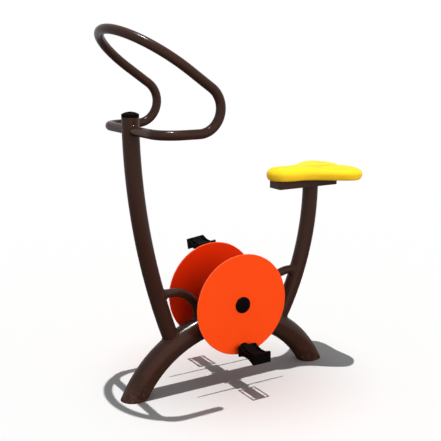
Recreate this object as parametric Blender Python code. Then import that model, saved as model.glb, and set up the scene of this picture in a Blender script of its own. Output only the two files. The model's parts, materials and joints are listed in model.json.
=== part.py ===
"""Outdoor exercise bike: a bent-tube frame on an arched base, two crank discs on a hub with ball
bearings, a pedal on each disc, a looped handlebar and a moulded saddle.

Metres, +Z up. The rider faces -X, so left is -Y. The origin is on the ground under the middle of the
whole bike. Shapes are drawn from the upright line through the axle, which the empty "bike" moves into
place, and the turning pieces are drawn from their own axis, each under an empty on that axis.
"""

import math

import bmesh
import bpy
import numpy as np
from mathutils import Quaternion, Vector

# Fits
GAP = 0.0003  # between pieces that touch
OVERRUN = 0.012  # how far a cutter runs past what it cuts
RUNNING_GAP = 0.0015  # between a turning piece and a fixed one beside it

# Base arch: a round tube on a circle in the bike's middle plane, its feet cut flat on the ground
ARCH_TUBE_RADIUS = 0.0475
ARCH_WALL = 0.004
ARCH_BEND_RADIUS = 0.466
ARCH_CENTRE_BELOW_GROUND = 0.217

# Front post: upright at its top, bowed down to its foot on the arch
FRONT_POST_RADIUS = 0.03175
FRONT_POST_WALL = 0.003
FRONT_POST_X = -0.402
FRONT_POST_TOP = 1.068
FRONT_POST_STRAIGHT = 0.007  # upright length above the bend
FRONT_POST_FOOT_X = -0.240

# Cap of the front post
CAP_RIM_HEIGHT = 0.011
CAP_DOME_HEIGHT = 0.009
CAP_PLUG_DEPTH = 0.018
CAP_PLUG_WALL = 0.003

# Seat post: upright at its top, bowed down to its foot on the arch
SEAT_POST_RADIUS = 0.03175
SEAT_POST_WALL = 0.003
SEAT_POST_X = 0.401
SEAT_POST_STRAIGHT = 0.0214
SEAT_POST_FOOT_X = 0.2365

# Braces: a quarter bend from each post down to the arch, its radius a share of the lesser leg
BRACE_RADIUS = 0.0172
BRACE_WALL = 0.0025
FRONT_BRACE_FOOT_X = -0.133
FRONT_BRACE_RISE = 0.1652  # from the middle line of the arch to that of the brace's top
FRONT_BRACE_BEND_SHARE = 0.687
REAR_BRACE_FOOT_X = 0.161
REAR_BRACE_RISE = 0.1897
REAR_BRACE_BEND_SHARE = 0.7655

# Handlebar: one tube from the left of the front post, round to its right
BAR_RADIUS = 0.0172
BAR_WALL = 0.0025
BAR_BELOW_POST_TOP = 0.046
BAR_HALF_WIDTH = 0.246
BAR_CORNER_RADIUS = 0.077
BAR_ARM_LENGTH = 0.0655  # straight between the corner and the rear bend
BAR_BEND_RADIUS = 0.0845
BAR_SLOPE = math.radians(35.5)
BAR_SLOPE_LENGTH = 0.1014  # straight from the rear bend up to the loop
BAR_LOOP_REACH = 0.237  # from the last straight's end to the loop's front, along the slope

# Hub shell on the arch, and the saddle that carries it
HUB_ABOVE_ARCH = 0.0019
HUB_RADIUS = 0.040
HUB_HALF_LENGTH = 0.058
HUB_SHOULDER = 0.0043  # step behind each bearing
HUB_SADDLE_WIDTH = 0.060
HUB_SADDLE_FOOT_LENGTH = 0.118
HUB_SADDLE_TOP_LENGTH = 0.066
HUB_SADDLE_TOP_BELOW_AXLE = 0.014
HUB_SADDLE_FOOT_BELOW_CROWN = 0.034

# Ball bearings, 25 x 62 x 17 mm
BEARING_BORE_RADIUS = 0.0125
BEARING_RADIUS = 0.031
BEARING_WIDTH = 0.017
BEARING_LIP = 0.004  # from the bearing's outer side to the hub shell's end
BEARING_LAND = 0.0036  # from the circle of the balls' centres to each ring's land
BALL_RADIUS = 0.0052
BALL_COUNT = 7
BALL_CLEARANCE = 0.0008  # at the bottom of a groove, whose straight flanks come nearer
CAGE_HALF_THICKNESS = 0.0010
CAGE_WIDTH = 0.0070
CIRCLIP_THICKNESS = 0.0020
CIRCLIP_DEPTH = 0.0015
CIRCLIP_WIDTH = 0.0050
CIRCLIP_OPENING = 0.012
SPACER_RADIUS = 0.0165

# Axle, keys and what holds the discs on its ends
AXLE_THREAD_RADIUS = 0.005
AXLE_THREAD_DEPTH = 0.030
KEY_WIDTH = 0.008
KEY_HEIGHT = 0.007
KEY_LENGTH = 0.024
KEY_INSET = 0.009  # from the disc hub's body to the key
KEY_DEPTH_IN_AXLE = 0.004
AXLE_WASHER_RADIUS = 0.024
AXLE_WASHER_THICKNESS = 0.003
AXLE_BOLT_HEAD_RADIUS = 0.009
AXLE_BOLT_HEAD_HEIGHT = 0.005
AXLE_BOLT_LENGTH = 0.024

# Crank discs and their hubs
DISC_RADIUS = 0.200
DISC_THICKNESS = 0.005
DISC_FACE_OUT = 0.1168  # outer face, from the middle plane
DISC_EDGE_ROUND = 0.0022
DISC_HUB_RADIUS = 0.030
DISC_HUB_CHAMFER = 0.003
DISC_HUB_NOSE_RADIUS = 0.0168
DISC_HUB_SPIGOT_RADIUS = 0.0195

# Black cap over each end of the axle
HUB_CAP_RADIUS = 0.0318
HUB_CAP_RIM_HEIGHT = 0.0045
HUB_CAP_HEIGHT = 0.0115
HUB_CAP_WALL = 0.002

# Pedals: bow-tie mouldings on a spindle through a boss on the disc
PEDAL_RIM_INSET = 0.024  # from the disc's edge in to the spindle
CRANK_LEAN = math.radians(2.0)
PEDAL_TILTS = {"left": 0.0, "right": math.radians(-7.0)}
PEDAL_STANDOFF = 0.0217  # from the disc's outer face
PEDAL_LENGTH = 0.109
PEDAL_WIDTH = 0.077
PEDAL_END_HEIGHT = 0.042
PEDAL_WAIST_HEIGHT = 0.0185
PEDAL_END_LAND = 0.010
PEDAL_CURVE_POWER = 2.4
PEDAL_CORE_WIDTH = 0.042
PEDAL_RAIL_WIDTH = 0.0065
PEDAL_END_PLATE = 0.008
PEDAL_RIB = 0.004
PEDAL_END_HOLE = 0.013
PEDAL_EDGE_ROUND = 0.0018
PEDAL_BORE_RADIUS = 0.0058
BOSS_RADIUS = 0.021
SPINDLE_ROOT_RADIUS = 0.008
SPINDLE_RADIUS = 0.005
BUSH_RADIUS = 0.008
BUSH_LENGTH = 0.013
PEDAL_NUT_POCKET_RADIUS = 0.0105
PEDAL_NUT_FLATS = 0.016
PEDAL_NUT_HEIGHT = 0.0075
PEDAL_CAP_THICKNESS = 0.003
BOSS_NUT_RADIUS = 0.013  # a blind conical nut, flush in the disc's inner face
BOSS_NUT_TAPER = 0.0025
BOSS_NUT_DEPTH = 0.0036
BOSS_NUT_FLOOR = 0.0012

# Seat bracket: a folded tray, open below, welded over the seat post
BRACKET_FRONT_REACH = 0.178  # from the post's middle to the tray's front
BRACKET_LENGTH = 0.288
BRACKET_WIDTH = 0.075
BRACKET_HEIGHT = 0.0345
BRACKET_WALL = 0.003
BRACKET_CORNER = 0.004

# Saddle
SEAT_NOSE_OVERHANG = 0.028  # ahead of the tray
SEAT_LENGTH = 0.382
SEAT_HALF_WIDTH = 0.1745
SEAT_BASE_HEIGHT = 0.789
SEAT_THICKNESS = 0.0482
SEAT_EQUATOR_ABOVE_BASE = 0.0223
SEAT_TOP_EDGE_ROUND = 0.0344
SEAT_BASE_EDGE_ROUND = 0.0115
SEAT_VALLEY_DEPTH = 0.0058
SEAT_VALLEY_HALF_WIDTH = 0.0252
SEAT_REAR_FALL = 0.0045
SEAT_SIDE_FALL = 0.0046  # at the half width, from the middle line
SEAT_NOSE_RISE = 0.0020
SEAT_CENTRE_SHARE = 0.60  # where the rings of the top close, along the saddle's length
SEAT_TOP_RING_SHARES = (0.66, 0.33)
SEAT_VALLEY_START_SHARES = (0.40, 0.68)
SEAT_REAR_FALL_SHARES = (0.77, 1.0)
SEAT_NOSE_RISE_SHARES = (0.0, 0.5)
# Half of the plan outline, nose to rear: shares of the length and of the half width
SEAT_OUTLINE_SHARES = (
    (0.0, 0.0), (0.022, 0.173), (0.085, 0.321), (0.200, 0.395), (0.330, 0.404), (0.450, 0.519),
    (0.590, 0.750), (0.715, 0.934), (0.820, 0.989), (0.920, 0.868), (0.988, 0.639), (0.997, 0.320),
    (0.988, 0.0),
)  # fmt: skip

# Bolts that hold the saddle, and the inserts moulded into it
SEAT_BOLT_RADIUS = 0.004
SEAT_BOLT_LENGTH = 0.018
SEAT_BOLT_FLATS = 0.013
SEAT_BOLT_HEAD_HEIGHT = 0.0055
SEAT_BOLT_FLANGE_RADIUS = 0.009
SEAT_BOLT_FLANGE_HEIGHT = 0.0015
SEAT_BOLT_WALL_INSET = 0.0125  # from the tray's side wall, inside
SEAT_BOLT_FRONT_INSET = 0.034  # from the tray's front
SEAT_INSERT_RADIUS = 0.007
SEAT_INSERT_LENGTH = 0.018

# Places that follow from the sizes above
ARCH_CENTRE = Vector((0.0, 0.0, -ARCH_CENTRE_BELOW_GROUND))
ARCH_CROWN_TOP = ARCH_BEND_RADIUS + ARCH_TUBE_RADIUS - ARCH_CENTRE_BELOW_GROUND
AXLE_HEIGHT = ARCH_CROWN_TOP + HUB_ABOVE_ARCH + HUB_RADIUS
BAR_HEIGHT = FRONT_POST_TOP - BAR_BELOW_POST_TOP
BAR_BEND_X = FRONT_POST_X + BAR_CORNER_RADIUS + BAR_ARM_LENGTH
BAR_LOOP_START_X = BAR_BEND_X + BAR_BEND_RADIUS * math.sin(BAR_SLOPE) - BAR_SLOPE_LENGTH * math.cos(BAR_SLOPE)
BRACKET_TOP = SEAT_BASE_HEIGHT - GAP
BRACKET_FRONT_X = SEAT_POST_X - BRACKET_FRONT_REACH
SEAT_POST_TOP = BRACKET_TOP - BRACKET_WALL - GAP
SEAT_NOSE_X = BRACKET_FRONT_X - SEAT_NOSE_OVERHANG
BEARING_OUT = HUB_HALF_LENGTH - BEARING_LIP
BEARING_IN = BEARING_OUT - BEARING_WIDTH
BEARING_PITCH_RADIUS = (BEARING_BORE_RADIUS + BEARING_RADIUS) / 2
DISC_FACE_IN = DISC_FACE_OUT - DISC_THICKNESS
AXLE_END = DISC_FACE_OUT - GAP
CRANK_RADIUS = DISC_RADIUS - PEDAL_RIM_INSET
PEDAL_INNER_END = DISC_FACE_OUT + PEDAL_STANDOFF
PEDAL_OUTER_END = PEDAL_INNER_END + PEDAL_LENGTH
BIKE_FRONT_REACH = BAR_LOOP_REACH * math.cos(BAR_SLOPE) - BAR_LOOP_START_X + BAR_RADIUS
BIKE_REAR_REACH = SEAT_NOSE_X + SEAT_LENGTH
AXLE_X = (BIKE_FRONT_REACH - BIKE_REAR_REACH) / 2

# Facets
ARCH_SIDES, ARCH_BORE_SIDES, ARCH_STEPS = 20, 10, 16
POST_SIDES, POST_BORE_SIDES, POST_STEPS = 18, 8, 6
BAR_SIDES, BAR_BORE_SIDES = 10, 6
BAR_CORNER_STEPS, BAR_BEND_STEPS, BAR_LOOP_STEPS = 4, 7, 7
BRACE_STEPS = 6
DISC_SIDES, HUB_SIDES, RING_SIDES, CAGE_SIDES, SMALL_SIDES = 44, 20, 18, 14, 10
DOME_STEPS = 3
EDGE_STEPS = 3
PEDAL_CURVE_STEPS = 6
SEAT_STEPS_PER_SHARE = 2
SMOOTH_ANGLE = math.radians(35)

X, Y, Z = Vector((1.0, 0.0, 0.0)), Vector((0.0, 1.0, 0.0)), Vector((0.0, 0.0, 1.0))
SIDES_OF_BIKE = (("left", -1), ("right", 1))


def make_material(name, colour, roughness, metallic=0.0):
    """A Principled material of one colour."""
    material = bpy.data.materials.new(name)
    material.use_nodes = True
    shader = material.node_tree.nodes["Principled BSDF"]
    shader.inputs["Base Color"].default_value = (*colour, 1.0)
    shader.inputs["Roughness"].default_value = roughness
    shader.inputs["Metallic"].default_value = metallic
    return material


def make_empty(name, parent=None, location=(0.0, 0.0, 0.0), turn=0.0):
    """An empty that places its children, turned about Y."""
    empty = bpy.data.objects.new(name, None)
    bpy.context.scene.collection.objects.link(empty)
    empty.parent = parent
    empty.location = location
    empty.rotation_euler = (0.0, turn, 0.0)
    return empty


def add_object(name, shape, parent, material=None):
    """Turns a bmesh into an object; without a material it is a hidden cutter."""
    bmesh.ops.recalc_face_normals(shape, faces=shape.faces)
    mesh = bpy.data.meshes.new(name)
    shape.to_mesh(mesh)
    shape.free()
    obj = bpy.data.objects.new(name, mesh)
    bpy.context.scene.collection.objects.link(obj)
    obj.parent = parent
    if material is None:
        obj.hide_render = True
        obj.display_type = "WIRE"
    else:
        mesh.materials.append(material)
        mesh.shade_smooth()
        mesh.set_sharp_from_angle(angle=SMOOTH_ANGLE)
    return obj


def combine(target, other, operation):
    """Adds a Boolean modifier to the target."""
    modifier = target.modifiers.new(f"{operation.lower()} {other.name}", "BOOLEAN")
    modifier.operation = operation
    modifier.object = other


def cut(target, *cutters):
    """Takes each cutter out of the target."""
    for cutter in cutters:
        combine(target, cutter, "DIFFERENCE")


def turned_shape(outline, sides, closed=True):
    """The bmesh of an outline of (radius, along) points spun about Y.

    A closed outline makes a ring. An open one starts and ends on the axis, where its radius is 0.
    """
    shape = bmesh.new()
    rings = []
    for radius, along in outline:
        count = sides if radius else 1
        turns = [2 * math.pi * k / count for k in range(count)]
        rings.append([shape.verts.new((radius * math.cos(t), along, radius * math.sin(t))) for t in turns])
    following = rings[1:] + (rings[:1] if closed else [])
    for first, second in zip(rings, following):
        for k in range(sides):
            corners = (
                first[k % len(first)],
                first[(k + 1) % len(first)],
                second[(k + 1) % len(second)],
                second[k % len(second)],
            )
            corners = list(dict.fromkeys(corners))
            if len(corners) > 2:
                shape.faces.new(corners)
    return shape


def turned(name, outline, sides, parent, material=None, closed=True, side=1):
    """An object turned about Y; side -1 makes the left one of a pair."""
    points = [(radius, side * along) for radius, along in outline]
    return add_object(name, turned_shape(points, sides, closed), parent, material)


def ring(name, inner, outer, low, high, parent, material=None, sides=SMALL_SIDES, side=1):
    """A plain ring about Y between two radii, from low to high along the axis."""
    outline = ((inner, low), (outer, low), (outer, high), (inner, high))
    return turned(name, outline, sides, parent, material, side=side)


def rod(name, radius, low, high, parent, material=None, sides=SMALL_SIDES, side=1):
    """A plain round bar about Y."""
    outline = ((0.0, low), (radius, low), (radius, high), (0.0, high))
    return turned(name, outline, sides, parent, material, closed=False, side=side)


def directions_along(path):
    """The tangent at each point of a path."""
    steps = [(b - a).normalized() for a, b in zip(path, path[1:])]
    middles = [(a + b).normalized() for a, b in zip(steps, steps[1:])]
    return [steps[0], *middles, steps[-1]]


def swept(name, path, radius, sides, parent, material=None, across=Y):
    """A round bar along a path of points, with flat ends; its section never twists."""
    shape = bmesh.new()
    tangents = directions_along(path)
    across = across.copy()
    rings = []
    for index, (point, tangent) in enumerate(zip(path, tangents)):
        if index:
            across = tangents[index - 1].rotation_difference(tangent) @ across
        turns = [2 * math.pi * k / sides for k in range(sides)]
        rings.append([shape.verts.new(point + Quaternion(tangent, t) @ across * radius) for t in turns])
    for first, second in zip(rings, rings[1:]):
        for k in range(sides):
            shape.faces.new((first[k], first[(k + 1) % sides], second[(k + 1) % sides], second[k]))
    shape.faces.new(rings[0])
    shape.faces.new(rings[-1])
    return add_object(name, shape, parent, material)


def extended(path, length):
    """The path with both ends run on straight by a length."""
    tangents = directions_along(path)
    return [path[0] - tangents[0] * length, *path[1:-1], path[-1] + tangents[-1] * length]


def tube(name, path, radius, wall, sides, bore_sides, parent, material):
    """A hollow tube along a path, open at both ends."""
    obj = swept(name, path, radius, sides, parent, material)
    cut(obj, swept(f"{name}_bore", extended(path, OVERRUN), radius - wall, bore_sides, parent))
    return obj


def dome(radius, low, high):
    """The outline points of a dome that rises from low at a radius to high on the axis."""
    turns = [math.pi / 2 * k / DOME_STEPS for k in range(DOME_STEPS)]
    return [(radius * math.cos(t), low + (high - low) * math.sin(t)) for t in turns] + [(0.0, high)]


def extruded(name, outline, half_width, parent, material=None):
    """An outline of (x, z) points, pushed out to both sides of the middle plane."""
    shape = bmesh.new()
    ends = [[shape.verts.new((x, y, z)) for x, z in outline] for y in (-half_width, half_width)]
    for first, second in zip(range(len(outline)), [*range(1, len(outline)), 0]):
        shape.faces.new((ends[0][first], ends[0][second], ends[1][second], ends[1][first]))
    for end in ends:
        shape.faces.new(end)
    return add_object(name, shape, parent, material)


def block(name, low, high, parent, material=None):
    """A box between two corners."""
    outline = ((low[0], low[2]), (high[0], low[2]), (high[0], high[2]), (low[0], high[2]))
    obj = extruded(name, outline, (high[1] - low[1]) / 2, parent, material)
    obj.location.y = (low[1] + high[1]) / 2
    return obj


def hexagon(name, flats, low, high, parent, material=None, side=1):
    """A hexagonal bar about Y."""
    return rod(name, flats / math.sqrt(3), low, high, parent, material, sides=6, side=side)


def arc(centre, radius, first, second, start, end, steps):
    """Points on a circle, its angle measured from the direction first towards second."""
    angles = [start + (end - start) * k / steps for k in range(steps + 1)]
    return [centre + (first * math.cos(t) + second * math.sin(t)) * radius for t in angles]


def arch_point(x):
    """The point of the arch's middle line over an x."""
    return ARCH_CENTRE + Vector((x, 0.0, math.sqrt(ARCH_BEND_RADIUS**2 - x**2)))


def post_bend(top_x, level, foot_x):
    """The centre and radius of the bend that is upright at the level and ends at the post's foot."""
    foot = arch_point(foot_x)
    run, rise = foot_x - top_x, level - foot.z
    reach = (run**2 + rise**2) / (2 * run)
    return Vector((top_x + reach, 0.0, level)), abs(reach)


def post_path(top_x, top, straight, foot_x):
    """A bowed post's middle line, from the arch's middle line up to its upright top."""
    centre, radius = post_bend(top_x, top - straight, foot_x)
    lean = math.asin((centre.z - arch_point(foot_x).z) / radius)
    outward = X * math.copysign(1.0, top_x - foot_x)
    points = arc(centre, radius, outward, -Z, lean, 0.0, POST_STEPS)
    return [*points, Vector((top_x, 0.0, top))]


def post_x(top_x, top, straight, foot_x, height):
    """Where a bowed post's middle line is at a height; it is upright above its bend."""
    centre, radius = post_bend(top_x, top - straight, foot_x)
    below = max(centre.z - height, 0.0)
    return centre.x + math.copysign(math.sqrt(radius**2 - below**2), top_x - foot_x)


def brace_path(foot_x, rise, bend_share, post):
    """A brace's middle line, from the post's middle line to the arch's."""
    foot = arch_point(foot_x)
    top = foot.z + rise
    post_at = post_x(*post, top)
    outward = X * math.copysign(1.0, post_at - foot_x)
    radius = bend_share * min(abs(post_at - foot_x), rise)
    centre = Vector((foot_x + outward.x * radius, 0.0, top - radius))
    quarter = arc(centre, radius, Z, -outward, 0.0, math.pi / 2, BRACE_STEPS)
    return [Vector((post_at, 0.0, top)), *quarter, foot]


def handlebar_half(side):
    """Half of the handlebar's middle line, from the front post to the loop's front."""
    out = Y * side
    corner_y = out * (BAR_HALF_WIDTH - BAR_CORNER_RADIUS)
    corner = Vector((FRONT_POST_X + BAR_CORNER_RADIUS, 0.0, BAR_HEIGHT)) + corner_y
    bend = Vector((BAR_BEND_X, 0.0, BAR_HEIGHT + BAR_BEND_RADIUS)) + out * BAR_HALF_WIDTH
    slope = Vector((-math.cos(BAR_SLOPE), 0.0, math.sin(BAR_SLOPE)))
    points = [Vector((FRONT_POST_X, 0.0, BAR_HEIGHT)) + out * (FRONT_POST_RADIUS - BAR_RADIUS)]
    points += arc(corner, BAR_CORNER_RADIUS, -X, out, 0.0, math.pi / 2, BAR_CORNER_STEPS)
    points += arc(bend, BAR_BEND_RADIUS, -Z, X, 0.0, math.pi - BAR_SLOPE, BAR_BEND_STEPS)
    start = points[-1] + slope * ((points[-1].x - BAR_LOOP_START_X) / math.cos(BAR_SLOPE))
    for k in range(BAR_LOOP_STEPS + 1):
        turn = math.pi / 2 * k / BAR_LOOP_STEPS
        point = start + slope * (BAR_LOOP_REACH * math.sin(turn))
        points.append(Vector((point.x, side * BAR_HALF_WIDTH * math.cos(turn), point.z)))
    return points


def build_frame(bike, brown):
    """The welded frame: arch, posts, braces and handlebar. Each joint is coped with the fitting gap."""
    foot_turn = math.asin(ARCH_CENTRE_BELOW_GROUND / ARCH_BEND_RADIUS)
    run_on = ARCH_TUBE_RADIUS / (ARCH_BEND_RADIUS - ARCH_TUBE_RADIUS)
    start = foot_turn - run_on
    arch_path = arc(ARCH_CENTRE, ARCH_BEND_RADIUS, -X, Z, start, math.pi - start, ARCH_STEPS)
    arch = tube(
        "base_arch", arch_path, ARCH_TUBE_RADIUS, ARCH_WALL, ARCH_SIDES, ARCH_BORE_SIDES, bike, brown
    )
    reach = ARCH_BEND_RADIUS + ARCH_TUBE_RADIUS
    below = ARCH_TUBE_RADIUS + OVERRUN
    ground = block(
        "ground_cutter", (-reach, -below, -ARCH_CENTRE_BELOW_GROUND), (reach, below, 0.0), bike
    )
    cut(arch, ground)
    arch_cope = swept("arch_cope", arch_path, ARCH_TUBE_RADIUS + GAP, ARCH_SIDES, bike)

    front = (FRONT_POST_X, FRONT_POST_TOP, FRONT_POST_STRAIGHT, FRONT_POST_FOOT_X)
    front_path = post_path(*front)
    front_size = (FRONT_POST_RADIUS, FRONT_POST_WALL, POST_SIDES, POST_BORE_SIDES)
    cut(tube("front_post", front_path, *front_size, bike, brown), arch_cope)
    front_cope = swept("front_post_cope", front_path, FRONT_POST_RADIUS + GAP, POST_SIDES, bike)

    seat = (SEAT_POST_X, SEAT_POST_TOP, SEAT_POST_STRAIGHT, SEAT_POST_FOOT_X)
    seat_path = post_path(*seat)
    seat_size = (SEAT_POST_RADIUS, SEAT_POST_WALL, POST_SIDES, POST_BORE_SIDES)
    cut(tube("seat_post", seat_path, *seat_size, bike, brown), arch_cope)
    seat_cope = swept("seat_post_cope", seat_path, SEAT_POST_RADIUS + GAP, POST_SIDES, bike)

    brace_size = (BRACE_RADIUS, BRACE_WALL, BAR_SIDES, BAR_BORE_SIDES)
    path = brace_path(FRONT_BRACE_FOOT_X, FRONT_BRACE_RISE, FRONT_BRACE_BEND_SHARE, front)
    cut(tube("front_brace", path, *brace_size, bike, brown), arch_cope, front_cope)
    path = brace_path(REAR_BRACE_FOOT_X, REAR_BRACE_RISE, REAR_BRACE_BEND_SHARE, seat)
    cut(tube("rear_brace", path, *brace_size, bike, brown), arch_cope, seat_cope)

    bar_path = handlebar_half(-1) + handlebar_half(1)[-2::-1]
    bar_size = (BAR_RADIUS, BAR_WALL, BAR_SIDES, BAR_BORE_SIDES)
    bar = swept("handlebar", bar_path, BAR_RADIUS, BAR_SIDES, bike, brown, across=Z)
    bore = swept("handlebar_bore", bar_path, BAR_RADIUS - BAR_WALL, BAR_BORE_SIDES, bike, across=Z)
    cut(bar, bore, front_cope)
    return arch_cope


def build_front_post_cap(bike, black):
    """A domed cap flush with the tube, its plug down inside it. It is turned about Y, then stood up."""
    bore = FRONT_POST_RADIUS - FRONT_POST_WALL
    plug = bore * math.cos(math.pi / POST_BORE_SIDES) - GAP
    low = GAP
    outline = [(0.0, low), (plug - CAP_PLUG_WALL, low), (plug - CAP_PLUG_WALL, -CAP_PLUG_DEPTH)]
    outline += [(plug, -CAP_PLUG_DEPTH), (plug, low), (FRONT_POST_RADIUS, low)]
    outline += dome(FRONT_POST_RADIUS, CAP_RIM_HEIGHT, CAP_RIM_HEIGHT + CAP_DOME_HEIGHT)
    cap = turned("front_post_cap", outline, POST_SIDES, bike, black, closed=False)
    cap.location = (FRONT_POST_X, 0.0, FRONT_POST_TOP)
    cap.rotation_euler = (math.pi / 2, 0.0, 0.0)


def build_hub(bike, arch_cope, brown, steel):
    """The hub shell with its two bearing seats, and the saddle between it and the arch's crown."""
    axis = make_empty("hub_axis", bike, (0.0, 0.0, AXLE_HEIGHT))
    groove_in = BEARING_OUT + GAP
    groove_out = groove_in + CIRCLIP_THICKNESS + 2 * GAP
    seat_radius = BEARING_RADIUS + GAP
    groove_radius = seat_radius + CIRCLIP_DEPTH + GAP
    bore = seat_radius - HUB_SHOULDER
    half = [(bore, BEARING_IN - GAP), (seat_radius, BEARING_IN - GAP), (seat_radius, groove_in)]
    half += [(groove_radius, groove_in), (groove_radius, groove_out), (seat_radius, groove_out)]
    half += [(seat_radius, HUB_HALF_LENGTH), (HUB_RADIUS, HUB_HALF_LENGTH)]
    outline = half + [(radius, -along) for radius, along in reversed(half)]
    turned("hub_shell", outline, HUB_SIDES, axis, brown)
    hub_cope = rod(
        "hub_cope", HUB_RADIUS + GAP, -HUB_HALF_LENGTH, HUB_HALF_LENGTH, axis, sides=HUB_SIDES
    )

    low = ARCH_CROWN_TOP - HUB_SADDLE_FOOT_BELOW_CROWN
    high = AXLE_HEIGHT - HUB_SADDLE_TOP_BELOW_AXLE
    foot, top = HUB_SADDLE_FOOT_LENGTH / 2, HUB_SADDLE_TOP_LENGTH / 2
    outline = ((-foot, low), (foot, low), (top, high), (-top, high))
    saddle = extruded("hub_saddle", outline, HUB_SADDLE_WIDTH / 2, bike, brown)
    cut(saddle, arch_cope, hub_cope)

    for name, side in SIDES_OF_BIKE:
        outline = bearing_ring_outline(BEARING_RADIUS, 1)
        turned(f"{name}_bearing_outer_ring", outline, HUB_SIDES, axis, steel, side=side)
        low = groove_in + GAP
        clip = ring(
            f"{name}_bearing_circlip",
            seat_radius + CIRCLIP_DEPTH - CIRCLIP_WIDTH,
            seat_radius + CIRCLIP_DEPTH,
            low,
            low + CIRCLIP_THICKNESS,
            axis,
            steel,
            HUB_SIDES,
            side,
        )
        half = CIRCLIP_OPENING / 2
        corners = (-half, low - OVERRUN, 0.0), (half, low + OVERRUN, HUB_RADIUS)
        gap = block(f"{name}_clip_cutter", *corners, axis)
        gap.location.y *= side
        cut(clip, gap)


def bearing_ring_outline(wall_radius, outward):
    """The section of a bearing ring: a plain wall on one side and a ball groove on the other."""
    middle = (BEARING_IN + BEARING_OUT) / 2
    groove = BALL_RADIUS + BALL_CLEARANCE
    land_radius = BEARING_PITCH_RADIUS + outward * BEARING_LAND
    half_turn = math.acos(BEARING_LAND / groove)
    points = [(wall_radius, BEARING_IN), (land_radius, BEARING_IN)]
    for turn in (-half_turn, 0.0, half_turn):
        radius = BEARING_PITCH_RADIUS + outward * groove * math.cos(turn)
        points.append((radius, middle + groove * math.sin(turn)))
    return [*points, (land_radius, BEARING_OUT), (wall_radius, BEARING_OUT)]


def build_ball_cage(name, side, axis, brass):
    """The cage of one bearing, with its balls seated in it."""
    middle = (BEARING_IN + BEARING_OUT) / 2
    inner = BEARING_PITCH_RADIUS - CAGE_HALF_THICKNESS
    outer = BEARING_PITCH_RADIUS + CAGE_HALF_THICKNESS
    low, high = middle - CAGE_WIDTH / 2, middle + CAGE_WIDTH / 2
    cage = ring(name, inner, outer, low, high, axis, brass, CAGE_SIDES, side)
    balls = bmesh.new()
    for k in range(BALL_COUNT):
        turn = 2 * math.pi * k / BALL_COUNT
        made = bmesh.ops.create_icosphere(balls, subdivisions=1, radius=BALL_RADIUS)
        place = Vector((math.cos(turn), 0.0, math.sin(turn))) * BEARING_PITCH_RADIUS
        bmesh.ops.translate(balls, verts=made["verts"], vec=place + Y * side * middle)
    combine(cage, add_object(f"{name}_balls", balls, axis), "UNION")


def build_crank(crank, orange, steel, black):
    """What turns with the pedals: axle, inner rings, spacer, disc hubs, discs and their fastenings."""
    axle = rod("axle", BEARING_BORE_RADIUS - GAP, -AXLE_END, AXLE_END, crank, steel, RING_SIDES)
    ring(
        "bearing_spacer",
        BEARING_BORE_RADIUS,
        SPACER_RADIUS,
        GAP - BEARING_IN,
        BEARING_IN - GAP,
        crank,
        steel,
        RING_SIDES,
    )
    for name, side in SIDES_OF_BIKE:
        outline = bearing_ring_outline(BEARING_BORE_RADIUS, -1)
        turned(f"{name}_bearing_inner_ring", outline, RING_SIDES, crank, steel, side=side)
        build_disc_hub(name, side, crank, axle, steel)
        build_disc(name, side, crank, orange)
        build_axle_end(name, side, crank, axle, steel, black)


def build_disc_hub(name, side, crank, axle, steel):
    """The sleeve that carries a disc: a nose on the bearing, a chamfered body and a spigot."""
    body_in = HUB_HALF_LENGTH + RUNNING_GAP
    body_out = DISC_FACE_IN - GAP
    outline = (
        (BEARING_BORE_RADIUS, BEARING_OUT + GAP),
        (DISC_HUB_NOSE_RADIUS, BEARING_OUT + GAP),
        (DISC_HUB_NOSE_RADIUS, body_in),
        (DISC_HUB_RADIUS - DISC_HUB_CHAMFER, body_in),
        (DISC_HUB_RADIUS, body_in + DISC_HUB_CHAMFER),
        (DISC_HUB_RADIUS, body_out),
        (DISC_HUB_SPIGOT_RADIUS, body_out),
        (DISC_HUB_SPIGOT_RADIUS, DISC_FACE_OUT),
        (BEARING_BORE_RADIUS, DISC_FACE_OUT),
    )
    hub = turned(f"{name}_disc_hub", outline, RING_SIDES, crank, steel, side=side)

    key_low = BEARING_BORE_RADIUS - KEY_DEPTH_IN_AXLE
    key_in = body_in + KEY_INSET
    size = Vector((KEY_WIDTH, KEY_LENGTH, KEY_HEIGHT))
    middle = Vector((0.0, side * (key_in + KEY_LENGTH / 2), key_low + KEY_HEIGHT / 2))
    block(f"{name}_axle_key", middle - size / 2, middle + size / 2, crank, steel)
    size += Vector((GAP, GAP, GAP)) * 2
    keyway = block(f"{name}_keyway", middle - size / 2, middle + size / 2, crank)
    cut(hub, keyway)
    cut(axle, keyway)


def build_disc(name, side, crank, orange):
    """One crank disc: a plate with a rounded edge, a hole for the hub and one for the spindle and nut."""
    hole = DISC_HUB_SPIGOT_RADIUS + GAP
    outline = [(hole, DISC_FACE_IN), (hole, DISC_FACE_OUT)]
    for middle, start in ((DISC_FACE_OUT - DISC_EDGE_ROUND, 90), (DISC_FACE_IN + DISC_EDGE_ROUND, 0)):
        for k in range(2):
            turn = math.radians(start - 90 * k)
            radius = DISC_RADIUS - DISC_EDGE_ROUND + DISC_EDGE_ROUND * math.cos(turn)
            outline.append((radius, middle + DISC_EDGE_ROUND * math.sin(turn)))
    disc = turned(f"{name}_disc", outline, DISC_SIDES, crank, orange, side=side)
    low, high = DISC_FACE_IN - OVERRUN, DISC_FACE_OUT + OVERRUN
    hole = rod(f"{name}_spindle_hole", SPINDLE_ROOT_RADIUS + GAP, low, high, crank, side=side)
    cone = boss_nut_cone(GAP)
    outline = [(0.0, low), (cone[0][0], low), *cone, (0.0, cone[-1][1])]
    sink = turned(f"{name}_boss_nut_sink", outline, SMALL_SIDES, crank, closed=False, side=side)
    for cutter in (hole, sink):
        cutter.location.z = side * CRANK_RADIUS
        cut(disc, cutter)


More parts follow.
